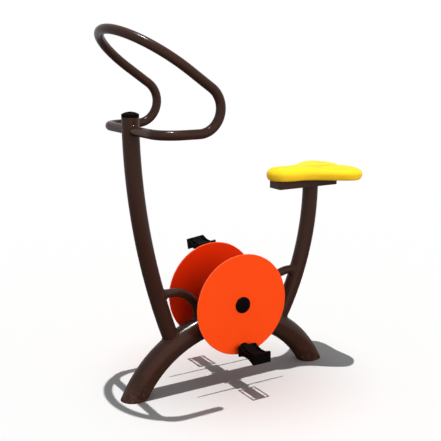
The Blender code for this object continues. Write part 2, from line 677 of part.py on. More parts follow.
def boss_nut_cone(grown):
    """The slanting outline of a boss nut in the disc's inner face, grown outwards by a distance."""
    bottom = DISC_FACE_IN + BOSS_NUT_DEPTH + grown
    return [(BOSS_NUT_RADIUS + grown, DISC_FACE_IN), (BOSS_NUT_RADIUS - BOSS_NUT_TAPER + grown, bottom)]


def build_axle_end(name, side, crank, axle, steel, black):
    """The washer, bolt and cap on one end of the axle."""
    washer_in = DISC_FACE_OUT + GAP
    washer_out = washer_in + AXLE_WASHER_THICKNESS
    hole = AXLE_THREAD_RADIUS + GAP
    ring(
        f"{name}_axle_washer", hole, AXLE_WASHER_RADIUS, washer_in, washer_out, crank, steel, RING_SIDES, side
    )
    head_in = washer_out + GAP
    head_out = head_in + AXLE_BOLT_HEAD_HEIGHT
    outline = (
        (0.0, head_in - AXLE_BOLT_LENGTH),
        (AXLE_THREAD_RADIUS, head_in - AXLE_BOLT_LENGTH),
        (AXLE_THREAD_RADIUS, head_in),
        (AXLE_BOLT_HEAD_RADIUS, head_in),
        (AXLE_BOLT_HEAD_RADIUS, head_out),
        (0.0, head_out),
    )
    turned(f"{name}_axle_bolt", outline, SMALL_SIDES, crank, steel, closed=False, side=side)
    low, high = AXLE_END - AXLE_THREAD_DEPTH, AXLE_END + OVERRUN
    thread = rod(f"{name}_axle_thread", hole, low, high, crank, side=side)
    cut(axle, thread)

    grip = AXLE_WASHER_RADIUS + GAP
    rim_out, top = washer_in + HUB_CAP_RIM_HEIGHT, washer_in + HUB_CAP_HEIGHT
    ceiling = top - HUB_CAP_WALL
    outline = [*reversed(dome(grip, rim_out, ceiling)), (grip, washer_in), (HUB_CAP_RADIUS, washer_in)]
    outline += dome(HUB_CAP_RADIUS, rim_out, top)
    turned(f"{name}_hub_cap", outline, RING_SIDES, crank, black, closed=False, side=side)


def build_pedal(name, side, crank, pedal, orange, steel, black, bronze):
    """One pedal on its spindle. The spindle, boss and nuts turn with the disc."""
    axis = make_empty(f"{name}_spindle_axis", crank, (0.0, 0.0, side * CRANK_RADIUS))
    boss_in, boss_out = DISC_FACE_OUT + GAP, PEDAL_INNER_END - RUNNING_GAP
    root = SPINDLE_ROOT_RADIUS
    ring(f"{name}_pedal_boss", root + GAP, BOSS_RADIUS, boss_in, boss_out, axis, black, RING_SIDES, side)
    cone = boss_nut_cone(0.0)
    floor = DISC_FACE_IN + BOSS_NUT_FLOOR
    outline = [(0.0, DISC_FACE_IN), *cone, (root + GAP, cone[-1][1]), (root + GAP, floor), (0.0, floor)]
    turned(f"{name}_boss_nut", outline, SMALL_SIDES, axis, orange, closed=False, side=side)

    pocket_in = PEDAL_OUTER_END - PEDAL_CAP_THICKNESS - 2 * GAP - PEDAL_NUT_HEIGHT
    pin_out = PEDAL_OUTER_END - PEDAL_CAP_THICKNESS - 2 * GAP
    outline = (
        (0.0, floor + GAP),
        (root, floor + GAP),
        (root, boss_out),
        (SPINDLE_RADIUS, boss_out),
        (SPINDLE_RADIUS, pin_out),
        (0.0, pin_out),
    )
    turned(f"{name}_pedal_spindle", outline, SMALL_SIDES, axis, steel, closed=False, side=side)
    nut = hexagon(f"{name}_pedal_nut", PEDAL_NUT_FLATS, pocket_in, pin_out - GAP, axis, steel, side)
    thread = SPINDLE_RADIUS + GAP
    cut(nut, rod(f"{name}_pedal_nut_thread", thread, pocket_in - OVERRUN, pin_out + OVERRUN, axis, side=side))

    build_pedal_body(name, side, pedal, pocket_in, black)
    bush_in = PEDAL_INNER_END + GAP
    bush_out = pocket_in - GAP
    for place, low in (("inner", bush_in), ("outer", bush_out - BUSH_LENGTH)):
        ring(
            f"{name}_pedal_{place}_bush",
            SPINDLE_RADIUS + GAP,
            BUSH_RADIUS,
            low,
            low + BUSH_LENGTH,
            pedal,
            bronze,
            side=side,
        )
    cap_in = PEDAL_OUTER_END - PEDAL_CAP_THICKNESS
    cap_radius = PEDAL_NUT_POCKET_RADIUS - GAP
    rod(f"{name}_pedal_end_cap", cap_radius, cap_in, PEDAL_OUTER_END, pedal, black, side=side)


def build_pedal_body(name, side, pedal, pocket_in, black):
    """The bow-tie moulding, with a slot down each side of its core and a stepped bore for the spindle."""
    middle = (PEDAL_INNER_END + PEDAL_OUTER_END) / 2
    end, waist = PEDAL_END_HEIGHT / 2, PEDAL_WAIST_HEIGHT / 2
    half = PEDAL_LENGTH / 2
    curve = half - PEDAL_END_LAND
    edge = [(-half, end)]
    for k in range(PEDAL_CURVE_STEPS + 1):
        along = -math.cos(math.pi * k / PEDAL_CURVE_STEPS)
        edge.append((curve * along, waist + (end - waist) * abs(along) ** PEDAL_CURVE_POWER))
    edge.append((half, end))
    outline = edge + [(y, -z) for y, z in reversed(edge)]
    shape = bmesh.new()
    ends = []
    for x in (-PEDAL_WIDTH / 2, PEDAL_WIDTH / 2):
        ends.append([shape.verts.new((x, side * middle + y, z)) for y, z in outline])
    for k in range(len(outline)):
        following = (k + 1) % len(outline)
        shape.faces.new((ends[0][k], ends[0][following], ends[1][following], ends[1][k]))
    for face in ends:
        shape.faces.new(face)
    body = add_object(f"{name}_pedal_body", shape, pedal, black)

    bevel = body.modifiers.new("rounded edges", "BEVEL")
    bevel.width = PEDAL_EDGE_ROUND
    bevel.segments = 1
    bevel.angle_limit = math.radians(50)

    low_x, high_x = PEDAL_CORE_WIDTH / 2, PEDAL_WIDTH / 2 - PEDAL_RAIL_WIDTH
    hole_end = half - PEDAL_END_PLATE
    hole_start = hole_end - PEDAL_END_HOLE
    slot_end = hole_start - PEDAL_RIB
    spans = ((-hole_end, -hole_start), (-slot_end, slot_end), (hole_start, hole_end))
    for row, across in (("front", -1), ("rear", 1)):
        for place, (low_y, high_y) in zip(("inner", "middle", "outer"), spans):
            x = sorted((across * low_x, across * high_x))
            y = sorted(side * (middle + value) for value in (low_y, high_y))
            low = (x[0], y[0], -PEDAL_END_HEIGHT)
            high = (x[1], y[1], PEDAL_END_HEIGHT)
            cut(body, block(f"{name}_{row}_{place}_slot", low, high, pedal))

    bush = BUSH_RADIUS + GAP
    outline = (
        (0.0, PEDAL_INNER_END - OVERRUN),
        (bush, PEDAL_INNER_END - OVERRUN),
        (bush, PEDAL_INNER_END + BUSH_LENGTH + 2 * GAP),
        (PEDAL_BORE_RADIUS, PEDAL_INNER_END + BUSH_LENGTH + 2 * GAP),
        (PEDAL_BORE_RADIUS, pocket_in - BUSH_LENGTH - 2 * GAP),
        (bush, pocket_in - BUSH_LENGTH - 2 * GAP),
        (bush, pocket_in - GAP),
        (PEDAL_NUT_POCKET_RADIUS, pocket_in - GAP),
        (PEDAL_NUT_POCKET_RADIUS, PEDAL_OUTER_END + OVERRUN),
        (0.0, PEDAL_OUTER_END + OVERRUN),
    )
    cut(body, turned(f"{name}_pedal_bore", outline, SMALL_SIDES, pedal, closed=False, side=side))


def build_bracket(bike, brown):
    """The folded tray under the saddle, and the places of its four bolts."""
    outer = BRACKET_WIDTH / 2
    rear_x = BRACKET_FRONT_X + BRACKET_LENGTH
    low = BRACKET_TOP - BRACKET_HEIGHT
    tray = block("seat_bracket", (BRACKET_FRONT_X, -outer, low), (rear_x, outer, BRACKET_TOP), bike, brown)
    bevel = tray.modifiers.new("folded corners", "BEVEL")
    bevel.width = BRACKET_CORNER
    bevel.segments = 1
    wall = BRACKET_WALL
    inside = block(
        "bracket_cutter",
        (BRACKET_FRONT_X + wall, wall - outer, low - OVERRUN),
        (rear_x - wall, outer - wall, BRACKET_TOP - wall),
        bike,
    )
    cut(tray, inside)
    behind_post = (SEAT_POST_X + SEAT_POST_RADIUS + rear_x - wall) / 2
    ends = (("front", BRACKET_FRONT_X + SEAT_BOLT_FRONT_INSET), ("rear", behind_post))
    places = {}
    for end, x in ends:
        for name, side in SIDES_OF_BIKE:
            places[f"{name}_{end}"] = (x, side * (outer - wall - SEAT_BOLT_WALL_INSET))
    return tray, places


def smooth_step(start, end, value):
    """0 before start, 1 after end, with a smooth rise between."""
    share = np.clip((value - start) / (end - start), 0.0, 1.0)
    return share * share * (3 - 2 * share)


def seat_outline():
    """The saddle's plan outline: a closed Catmull-Rom curve through its shares and their mirror."""
    half = np.array(SEAT_OUTLINE_SHARES)
    mirror = half[-2:0:-1] * (1, -1)
    points = np.concatenate([half, mirror]) * (SEAT_LENGTH, SEAT_HALF_WIDTH) + (SEAT_NOSE_X, 0.0)
    before, after, beyond = (np.roll(points, shift, axis=0) for shift in (1, -1, -2))
    steps = []
    for k in range(SEAT_STEPS_PER_SHARE):
        t = k / SEAT_STEPS_PER_SHARE
        bend = 2 * before - 5 * points + 4 * after - beyond
        twist = 3 * points - before - 3 * after + beyond
        steps.append(points + (after - before) * t / 2 + bend * t**2 / 2 + twist * t**3 / 2)
    return np.stack(steps, axis=1).reshape(-1, 2)


def seat_top_height(points):
    """How high the saddle's upper skin is over each plan point.

    From the seat's full height a valley is sunk between the two rear lobes, the rear edge falls, the
    sides fall with the square of their distance from the middle line, and the nose rises a little.
    """
    along = (points[:, 0] - SEAT_NOSE_X) / SEAT_LENGTH
    valley = smooth_step(*SEAT_VALLEY_START_SHARES, along) * SEAT_VALLEY_DEPTH
    valley *= np.exp(-((points[:, 1] / SEAT_VALLEY_HALF_WIDTH) ** 2))
    fall = smooth_step(*SEAT_REAR_FALL_SHARES, along) * SEAT_REAR_FALL
    sides = SEAT_SIDE_FALL * (points[:, 1] / SEAT_HALF_WIDTH) ** 2
    nose = SEAT_NOSE_RISE * (1 - smooth_step(*SEAT_NOSE_RISE_SHARES, along))
    return SEAT_BASE_HEIGHT + SEAT_THICKNESS - valley - fall - sides + nose


def build_seat(bike, yellow):
    """The saddle: rings drawn in from its outline over a rounded edge, then a lobed top and a flat base."""
    outline = seat_outline()
    steps = (np.roll(outline, -1, axis=0) - np.roll(outline, 1, axis=0)) / 2
    inward = np.stack([-steps[:, 1], steps[:, 0]], axis=1)
    inward /= np.linalg.norm(inward, axis=1)[:, None]
    centre = np.array((SEAT_NOSE_X + SEAT_LENGTH * SEAT_CENTRE_SHARE, 0.0))
    if ((centre - outline) * inward).sum() < 0:
        inward = -inward
    equator = SEAT_BASE_HEIGHT + SEAT_EQUATOR_ABOVE_BASE
    rings = []
    edge = outline + inward * SEAT_BASE_EDGE_ROUND
    rings.append(np.column_stack([edge, np.full(len(edge), SEAT_BASE_HEIGHT)]))
    for k in (2, 1):
        turn = math.pi / 2 * k / EDGE_STEPS
        plan = outline + inward * SEAT_BASE_EDGE_ROUND * (1 - math.cos(turn))
        height = equator - SEAT_EQUATOR_ABOVE_BASE * math.sin(turn)
        rings.append(np.column_stack([plan, np.full(len(plan), height)]))
    for k in range(EDGE_STEPS + 1):
        turn = math.pi / 2 * k / EDGE_STEPS
        plan = outline + inward * SEAT_TOP_EDGE_ROUND * (1 - math.cos(turn))
        rings.append(np.column_stack([plan, equator + (seat_top_height(plan) - equator) * math.sin(turn)]))
    shoulder = rings[-1][:, :2]
    for share in SEAT_TOP_RING_SHARES:
        plan = centre + (shoulder - centre) * share
        rings.append(np.column_stack([plan, seat_top_height(plan)]))
    shape = bmesh.new()
    loops = [[shape.verts.new(point) for point in points] for points in rings]
    count = len(outline)
    for first, second in zip(loops, loops[1:]):
        for k in range(count):
            shape.faces.new((first[k], first[(k + 1) % count], second[(k + 1) % count], second[k]))
    shape.faces.new(loops[0])
    crown = shape.verts.new((*centre, seat_top_height(centre[None])[0]))
    for k in range(count):
        shape.faces.new((loops[-1][k], loops[-1][(k + 1) % count], crown))
    return add_object("seat", shape, bike, yellow)


def build_seat_fixings(bike, tray, seat, places, steel, brass):
    """Four flanged bolts up through the tray into the inserts in the saddle's base."""
    plate_low = BRACKET_TOP - BRACKET_WALL - GAP
    hole = SEAT_BOLT_RADIUS + GAP
    for name, (x, y) in places.items():
        axis = make_empty(f"{name}_seat_bolt_axis", bike, (x, y, plate_low))
        axis.rotation_euler = (math.pi / 2, 0.0, 0.0)
        flange = SEAT_BOLT_FLANGE_HEIGHT
        outline = (
            (0.0, -flange),
            (SEAT_BOLT_FLANGE_RADIUS, -flange),
            (SEAT_BOLT_FLANGE_RADIUS, 0.0),
            (SEAT_BOLT_RADIUS, 0.0),
            (SEAT_BOLT_RADIUS, SEAT_BOLT_LENGTH),
            (0.0, SEAT_BOLT_LENGTH),
        )
        bolt = turned(f"{name}_seat_bolt", outline, SMALL_SIDES, axis, steel, closed=False)
        head_low = -flange - SEAT_BOLT_HEAD_HEIGHT
        combine(bolt, hexagon(f"{name}_bolt_head", SEAT_BOLT_FLATS, head_low, -flange / 2, axis), "UNION")
        cut(tray, rod(f"{name}_tray_hole", hole, -OVERRUN / 2, OVERRUN / 2, axis))
        insert_low = SEAT_BASE_HEIGHT - plate_low + GAP
        insert_high = insert_low + SEAT_INSERT_LENGTH
        ring(f"{name}_seat_insert", hole, SEAT_INSERT_RADIUS, insert_low, insert_high, axis, brass)
        pocket = SEAT_INSERT_RADIUS + GAP
        cut(seat, rod(f"{name}_seat_hole", pocket, insert_low - OVERRUN, insert_high + GAP, axis))


def main():
    for obj in list(bpy.data.objects):
        bpy.data.objects.remove(obj)
    brown = make_material("brown_powder_coat", (0.042, 0.018, 0.013), 0.35)
    orange = make_material("orange_enamel", (0.98, 0.07, 0.008), 0.40)
    yellow = make_material("yellow_plastic", (1.0, 0.66, 0.02), 0.35)
    black = make_material("black_plastic", (0.010, 0.010, 0.011), 0.45)
    steel = make_material("steel", (0.55, 0.56, 0.58), 0.30, 1.0)
    brass = make_material("brass", (0.70, 0.48, 0.20), 0.35, 1.0)
    bronze = make_material("bronze", (0.45, 0.26, 0.12), 0.45, 1.0)

    bike = make_empty("bike", location=(AXLE_X, 0.0, 0.0))
    arch_cope = build_frame(bike, brown)
    build_front_post_cap(bike, black)
    build_hub(bike, arch_cope, brown, steel)
    tray, places = build_bracket(bike, brown)
    seat = build_seat(bike, yellow)
    build_seat_fixings(bike, tray, seat, places, steel, brass)

    crank = make_empty("crank_axis", bike, (0.0, 0.0, AXLE_HEIGHT), -CRANK_LEAN)
    build_crank(crank, orange, steel, black)
    for name, side in SIDES_OF_BIKE:
        cage_axis = make_empty(f"{name}_cage_axis", bike, (0.0, 0.0, AXLE_HEIGHT))
        build_ball_cage(f"{name}_ball_cage", side, cage_axis, brass)
        place, turn = (0.0, 0.0, side * CRANK_RADIUS), CRANK_LEAN + PEDAL_TILTS[name]
        pedal = make_empty(f"{name}_pedal_axis", crank, place, turn)
        build_pedal(name, side, crank, pedal, orange, steel, black, bronze)


main()
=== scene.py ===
"""Outdoor exercise bike, dressed for its picture.

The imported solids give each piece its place. This script lays fine surfaces over the tubes, hub, discs,
pedals and saddle, runs weld beads round the joints of the frame, and gives each finish a material of its
own. Metres, +Z up. The rider faces -X, so left is -Y.
"""

import json
import logging
import math
from dataclasses import dataclass
from enum import Enum
from typing import Any, Callable

import bpy
import numpy as np
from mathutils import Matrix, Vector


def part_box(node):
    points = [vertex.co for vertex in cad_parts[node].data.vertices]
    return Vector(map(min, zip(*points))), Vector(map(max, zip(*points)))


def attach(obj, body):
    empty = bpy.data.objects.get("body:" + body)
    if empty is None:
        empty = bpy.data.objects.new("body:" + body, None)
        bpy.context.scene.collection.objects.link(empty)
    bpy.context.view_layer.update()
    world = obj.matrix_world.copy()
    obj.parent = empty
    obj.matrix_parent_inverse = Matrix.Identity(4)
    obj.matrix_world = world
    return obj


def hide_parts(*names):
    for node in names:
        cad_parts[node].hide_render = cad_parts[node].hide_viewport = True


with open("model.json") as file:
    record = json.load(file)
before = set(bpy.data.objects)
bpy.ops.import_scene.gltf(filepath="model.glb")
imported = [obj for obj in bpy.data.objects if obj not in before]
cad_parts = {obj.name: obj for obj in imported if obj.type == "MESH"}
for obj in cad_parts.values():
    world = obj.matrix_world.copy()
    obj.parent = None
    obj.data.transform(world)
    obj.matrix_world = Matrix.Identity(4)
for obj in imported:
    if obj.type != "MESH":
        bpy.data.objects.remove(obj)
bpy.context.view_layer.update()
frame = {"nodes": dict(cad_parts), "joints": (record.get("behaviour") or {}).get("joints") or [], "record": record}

Array = np.ndarray
Clearance = Callable[[Array], Array]
Triple = tuple[float, float, float]
Colour = Triple
Span = tuple[float, float]
Cells = tuple[int, int]
log = logging.getLogger("bike")

TURN = 2 * math.pi
X, Y, Z = np.eye(3)
WHITE = (1.0, 1.0, 1.0)
SHARP_ANGLE = math.radians(32)
HALVINGS = 28
SINK = 0.0004  # how far a coped end or a bead runs into what it meets
SAME_POINT = SINK / 10  # points of a line that lie nearer than this are one
SEARCH_REACH = 0.16  # how far from a seam's middle the nearest points of a line are looked for
FLAT_SHARE = 0.25  # how far past a round its supporting point lies, as a share of the radius
LEAST_SIDE = 1.01  # the least half side of a rounded rectangle, in corner radii
TINY = 1e-9  # keeps a division off 0


class Body(Enum):
    """The bodies that pieces ride on."""

    FRAME = "frame"
    CRANK = "crank"
    LEFT_PEDAL = "left_pedal"
    RIGHT_PEDAL = "right_pedal"


class Side(Enum):
    """The two sides of the bike, each with its sign along Y."""

    LEFT = -1
    RIGHT = 1

    @property
    def label(self) -> str:
        """The side's name in the nodes."""
        return self.name.lower()


def joint_place(name: str) -> Array:
    """Where a joint's axis passes through the middle plane."""
    return np.array(next(joint["pos_m"] for joint in frame["joints"] if joint["name"] == name))


AXLE = joint_place("crank_spin")


def unit(vectors: Array) -> Array:
    """Each vector divided by its length."""
    return vectors / np.linalg.norm(vectors, axis=-1, keepdims=True)


def smooth_step(start: float, end: float, value: Array) -> Array:
    """0 before start and 1 after end, with three times the share's square less twice its cube between."""
    share = np.clip((value - start) / (end - start), 0.0, 1.0)
    return share * share * (3 - 2 * share)


def arc(centre: Array, first: Array, second: Array, start: float, end: float, count: int) -> Array:
    """Points on an ellipse: its centre, plus one half axis times the turn's cosine and one times its sine.

    Args:
        centre: The middle of the ellipse.
        first: The half axis at a turn of 0.
        second: The half axis at a quarter turn.
        start: The first turn, in radians.
        end: The last turn.
        count: How many points.

    Returns:
        The points, one a row.
    """
    turns = np.linspace(start, end, count)[:, None]
    return centre + np.cos(turns) * first + np.sin(turns) * second


def straight(start: Array, end: Array, count: int = 90) -> Array:
    """Evenly spaced points from start to end."""
    return start + np.linspace(0.0, 1.0, count)[:, None] * (end - start)


def round_turns(places: int) -> Array:
    """Evenly spaced turns for one whole turn, in radians, with the last one short of the first."""
    return np.linspace(0.0, TURN, places, endpoint=False)


def halve(clearance: Clearance, inside: Array, outside: Array) -> Array:
    """Where lines leave a solid, by halving the span between a place inside it and one outside.

    Args:
        clearance: Gives how far the lines' points lie outside the solid, for a place on each line.
        inside: A place on each line inside the solid.
        outside: A place on each line outside it.

    Returns:
        The place on each line that is sunk in the solid just as far as an end should be.
    """
    for _ in range(HALVINGS):
        middle = (inside + outside) / 2
        within = clearance(middle) < -SINK
        inside, outside = np.where(within, middle, inside), np.where(within, outside, middle)
    return outside


@dataclass(frozen=True)
class Line:
    """A smooth middle line, read by the distance along it."""

    stations: Array
    points: Array
    across: Array
    beside: Array

    @classmethod
    def through(cls, runs: list[Array], across: Array) -> "Line":
        """Joins runs of points into one line.

        The vector across the line is carried by the least turn: at each point, what it has along the line
        is taken off, and its length is made 1 again.

        Args:
            runs: The points of each run, in order.
            across: Any vector square to the line's start.

        Returns:
            The line.
        """
        points = np.concatenate(runs)
        apart = np.linalg.norm(np.diff(points, axis=0), axis=1) > SAME_POINT
        points = points[np.r_[True, apart]]
        stations = np.r_[0.0, np.cumsum(np.linalg.norm(np.diff(points, axis=0), axis=1))]
        along = unit(np.gradient(points, stations, axis=0))
        carried = []
        for direction in along:
            across = unit(across - direction * (across @ direction))
            carried.append(across)
        return cls(stations, points, np.array(carried), np.cross(along, carried))

    @property
    def length(self) -> float:
        """The distance along the whole line."""
        return float(self.stations[-1])

    def read(self, table: Array, stations: Array) -> Array:
        """A table's vectors at any stations, in straight steps between its rows."""
        return np.stack([np.interp(stations, self.stations, column) for column in table.T], axis=-1)

    def skin(self, stations: Array, turns: Array, radius: float) -> Array:
        """Points round the line: its point there, plus the radius times a turned vector across it.

        Args:
            stations: How far along the line each point lies.
            turns: How far round it, in radians.
            radius: How far from it.

        Returns:
            The points.
        """
        around = np.cos(turns)[..., None] * self.read(self.across, stations)
        around = around + np.sin(turns)[..., None] * self.read(self.beside, stations)
        return self.read(self.points, stations) + radius * around

    def from_middle(self, points: Array) -> Array:
        """The vector to each point from the line's point nearest to it.

        Args:
            points: Points that lie together, such as those of one seam.

        Returns:
            A vector for each point.
        """
        middle = points.reshape(-1, 3).mean(axis=0)
        close = np.linalg.norm(self.points - middle, axis=1) < SEARCH_REACH
        away = points[..., None, :] - self.points[close]
        nearest = np.argmin((away**2).sum(axis=-1), axis=-1)
        return np.take_along_axis(away, nearest[..., None, None], axis=-2)[..., 0, :]


@dataclass(frozen=True)
class Tube:
    """A round tube along a line."""

    line: Line
    radius: float
    wall: float

    def clearance(self, points: Array) -> Array:
        """How far each point lies outside the tube's skin."""
        return np.linalg.norm(self.line.from_middle(points), axis=-1) - self.radius

    def facing(self, points: Array) -> Array:
        """The direction that the tube's skin faces at each point."""
        return unit(self.line.from_middle(points))


@dataclass(frozen=True)
class End:
    """Where a tube is cut: the clearance of points from what cuts it, a station in it and one clear of it."""

    clearance: Clearance
    inside: float
    outside: float

    @classmethod
    def square(cls, station: float) -> "End":
        """A plain cut at one station."""
        return cls(lambda points: np.ones(points.shape[:-1]), station, station)

    def stations(self, line: Line, turns: Array, radius: float) -> Array:
        """Where each line along the skin meets the cut.

        Args:
            line: The tube's middle line.
            turns: The turn of each line along the skin.
            radius: The skin's radius.

        Returns:
            A station for each turn.
        """
        inside, outside = (np.full(turns.shape, station) for station in (self.inside, self.outside))
        return halve(lambda stations: self.clearance(line.skin(stations, turns, radius)), inside, outside)


def mesh_object(name: str, points: Array, faces: list[Array]) -> bpy.types.Object:
    """Makes a smooth-shaded object whose faces point outwards.

    Args:
        name: The object's name.
        points: All the points, one a row.
        faces: Arrays of faces, each with one number of corners, that together close the surface.

    Returns:
        The object, linked to the scene.
    """
    volume = 0.0
    for group in faces:
        for corner in range(1, group.shape[1] - 1):
            a, b, c = (points[group[:, k]] for k in (0, corner, corner + 1))
            volume += float((a * np.cross(b, c)).sum())
    if volume < 0:
        faces = [group[:, ::-1] for group in faces]
    used, order = np.unique(np.concatenate([group.ravel() for group in faces]), return_inverse=True)
    sizes = np.concatenate([np.full(len(group), group.shape[1]) for group in faces])
    mesh = bpy.data.meshes.new(name)
    mesh.vertices.add(len(used))
    mesh.vertices.foreach_set("co", points[used].astype(np.float32).ravel())
    mesh.loops.add(len(order))
    mesh.loops.foreach_set("vertex_index", order.astype(np.int32).ravel())
    mesh.polygons.add(len(sizes))
    mesh.polygons.foreach_set("loop_start", np.r_[0, np.cumsum(sizes)[:-1]].astype(np.int32))
    mesh.update(calc_edges=True)
    mesh.validate()
    mesh.shade_smooth()
    mesh.set_sharp_from_angle(angle=SHARP_ANGLE)
    obj = bpy.data.objects.new(name, mesh)
    bpy.context.scene.collection.objects.link(obj)
    return obj


def surface(name: str, grid: Array, wrap: bool = True) -> bpy.types.Object:
    """Makes an object from a grid of points whose rows each close on themselves.

    Args:
        name: The object's name.
        grid: The points, indexed by row and by place along the row.
        wrap: Whether the last row joins the first. Without it those two rows are poles of one point.

    Returns:
        The object.
    """
    rows, places = grid.shape[:2]
    ids = np.arange(rows * places).reshape(rows, places)
    beside = np.roll(ids, -1, axis=1)
    if wrap:
        quads = np.stack([ids, beside, np.roll(beside, -1, axis=0), np.roll(ids, -1, axis=0)], axis=-1)
        return mesh_object(name, grid.reshape(-1, 3), [quads.reshape(-1, 4)])
    quads = np.stack([ids[1:-2], beside[1:-2], beside[2:-1], ids[2:-1]], axis=-1).reshape(-1, 4)
    first = np.stack([np.full(places, ids[0, 0]), beside[1], ids[1]], axis=-1)
    last = np.stack([ids[-2], beside[-2], np.full(places, ids[-1, 0])], axis=-1)
    return mesh_object(name, grid.reshape(-1, 3), [quads, first, last])


def rounded(corners: list[Triple], closed: bool, steps: int = 5) -> Array:
    """An outline of corners, each with the radius of the round that replaces it.

    Each round is a circle's arc that touches both sides. Beside it lies one more point on each flat, so
    that shading stays flat up to there.

    Args:
        corners: Two coordinates and a radius for each corner. A radius of 0 keeps the corner.
        closed: Whether the last corner joins the first.
        steps: How many steps an arc has.

    Returns:
        The outline's points, one a row.
    """
    points = np.array([corner[:2] for corner in corners])
    found = []
    for k, (here, (*_, radius)) in enumerate(zip(points, corners)):
        if radius == 0 or (not closed and k in (0, len(corners) - 1)):
            found.append(here)
            continue
        back, forward = unit(points[k - 1] - here), unit(points[(k + 1) % len(points)] - here)
        half = math.acos(float(np.clip(back @ forward, -1.0, 1.0))) / 2
        reach = radius / math.tan(half)
        centre = here + unit(back + forward) * radius / math.sin(half)
        first, last = here + back * reach - centre, here + forward * reach - centre
        shares = np.linspace(0.0, 1.0, steps + 1)[:, None]
        sweep = math.pi - 2 * half
        blend = (np.sin((1 - shares) * sweep) * first + np.sin(shares * sweep) * last) / math.sin(sweep)
        support = reach + radius * FLAT_SHARE
        found += [here + back * support, centre + blend, here + forward * support]
    return np.vstack(found)


def rounded_rectangle(half: Array, corner: float, places: int) -> Array:
    """A rounded rectangle in plan, with the same count of points for every size.

    A point is the nearest place on the rectangle of the corners' centres, plus the corners' radius times
    the direction out from there.

    Args:
        half: Half its length and half its width.
        corner: The radius of its corners.
        places: How many points it has.

    Returns:
        The points, one a row.
    """
    turns = round_turns(places)
    lobe = np.column_stack([np.cos(turns), np.sin(turns)])
    half = np.maximum(half, corner * LEAST_SIDE)
    edge = lobe / np.abs(lobe).max(axis=1, keepdims=True) * half
    flat = np.clip(edge, corner - half, half - corner)
    away = edge - flat
    return flat + away / np.maximum(np.linalg.norm(away, axis=1, keepdims=True), TINY) * corner


def turned(
    outline: Array, centre: Array, forward: Array, places: int = 96, hexagon: Array | None = None
) -> Array:
    """The grid of an outline spun about an axis.

    A point is the centre, plus the outline's second value along the axis, plus its first value, the
    radius, times a vector that turns round the axis.

    Args:
        outline: A radius and a distance along the axis for each row.
        centre: The point of the axis at distance 0.
        forward: The direction of the axis.
        places: How many points round the axis.
        hexagon: For each row, 1 where the section is a hexagon as wide between corners as the radius
            doubled, and 0 where it is round.

    Returns:
        The grid of points.
    """
    turns = round_turns(places)
    across = Z if abs(forward[2]) < 0.5 else X
    around = np.cos(turns)[:, None] * across + np.sin(turns)[:, None] * np.cross(forward, across)
    radii = outline[:, 0, None] * np.ones(places)
    if hexagon is not None:
        sixth = math.pi / 3
        flat = math.cos(sixth / 2) / np.cos(np.mod(turns, sixth) - sixth / 2)
        radii = radii * (1 + hexagon[:, None] * (flat - 1))
    return centre + outline[:, 1, None, None] * forward + radii[..., None] * around


def tube_grid(tube: Tube, ends: tuple[End, End], cells: Cells) -> Array:
    """The grid of a tube: out along its skin and back along its bore, which has a third of the steps.

    Each line along the skin is divided evenly between its own two cuts.

    Args:
        tube: The tube.
        ends: What cuts its start and its end.
        cells: How many steps the skin has along the tube, and how many points round it.

    Returns:
        The grid of points.
    """
    steps, places = cells
    bore_steps = max(steps // 3, 4)
    turns = round_turns(places)
    walls = []
    for radius, shares in (
        (tube.radius, np.linspace(0.0, 1.0, steps)),
        (tube.radius - tube.wall, np.linspace(1.0, 0.0, bore_steps)),
    ):
        start, end = (cut.stations(tube.line, turns, radius) for cut in ends)
        stations = start + (end - start) * shares[:, None]
        walls.append(tube.line.skin(stations, np.broadcast_to(turns, stations.shape), radius))
    return np.concatenate(walls)


@dataclass(frozen=True)
class Bead:
    """A fillet weld: a rippled, slightly crowned bead in the corner between two pieces."""

    leg: float = 0.0058
    pitch: float = 0.0034  # between ripples
    ripple: float = 0.07  # share of the leg
    lag: float = 0.30  # of a section's middle behind its toes, as a share of the pitch
    crown: float = 1.45  # power of the section's curve: 1 is a quarter round, 2 is flat
    section_points: int = 8

    def grid(self, seam: Array, up: Array, out: Array) -> Array:
        """The bead's grid round a closed seam.

        A section's point is the seam's, plus up times the leg times a power of the cosine, plus out times
        the leg times that power of the sine. The leg swells and shrinks once a ripple, later in the
        section's middle than at its toes, as the crescents of a bead do.

        Args:
            seam: The points of the corner.
            up: At each point, the direction away from the corner over one piece.
            out: The same over the other piece.

        Returns:
            The grid of points.
        """
        steps = np.linalg.norm(np.diff(seam, axis=0, append=seam[:1]), axis=1)
        along = np.r_[0.0, np.cumsum(steps)[:-1]] / steps.sum()
        count = max(round(steps.sum() / self.pitch), 1)
        share = np.linspace(0.0, 1.0, self.section_points)
        phase = TURN * (count * along[:, None] - self.lag * np.sin(math.pi * share))
        leg = self.leg * (1 + self.ripple * (np.abs(np.sin(phase / 2)) - 0.5))
        rise = leg * np.cos(share * math.pi / 2) ** self.crown
        run = leg * np.sin(share * math.pi / 2) ** self.crown
        rise[:, -1], run[:, 0] = -SINK, -SINK
        corner = np.full((len(seam), 1), -SINK)
        rise, run = np.hstack([rise, corner]), np.hstack([run, corner])
        return seam[:, None] + rise[..., None] * up[:, None] + run[..., None] * out[:, None]

    def tube_seam(self, tube: Tube, host: Tube, end: End, places: int = 360) -> Array:
        """The bead where a tube stands on another.

        Args:
            tube: The tube that is coped.
            host: The tube that it stands on.
            end: The cut of the coped end.
            places: How many points round the seam.

        Returns:
            The grid of points.
        """
        turns = round_turns(places)
        seam = tube.line.skin(end.stations(tube.line, turns, tube.radius), turns, tube.radius)
        wall, ground = tube.facing(seam), host.facing(seam)
        dot = (wall * ground).sum(axis=-1, keepdims=True)
        return self.grid(seam, unit(ground - dot * wall), unit(wall - dot * ground))


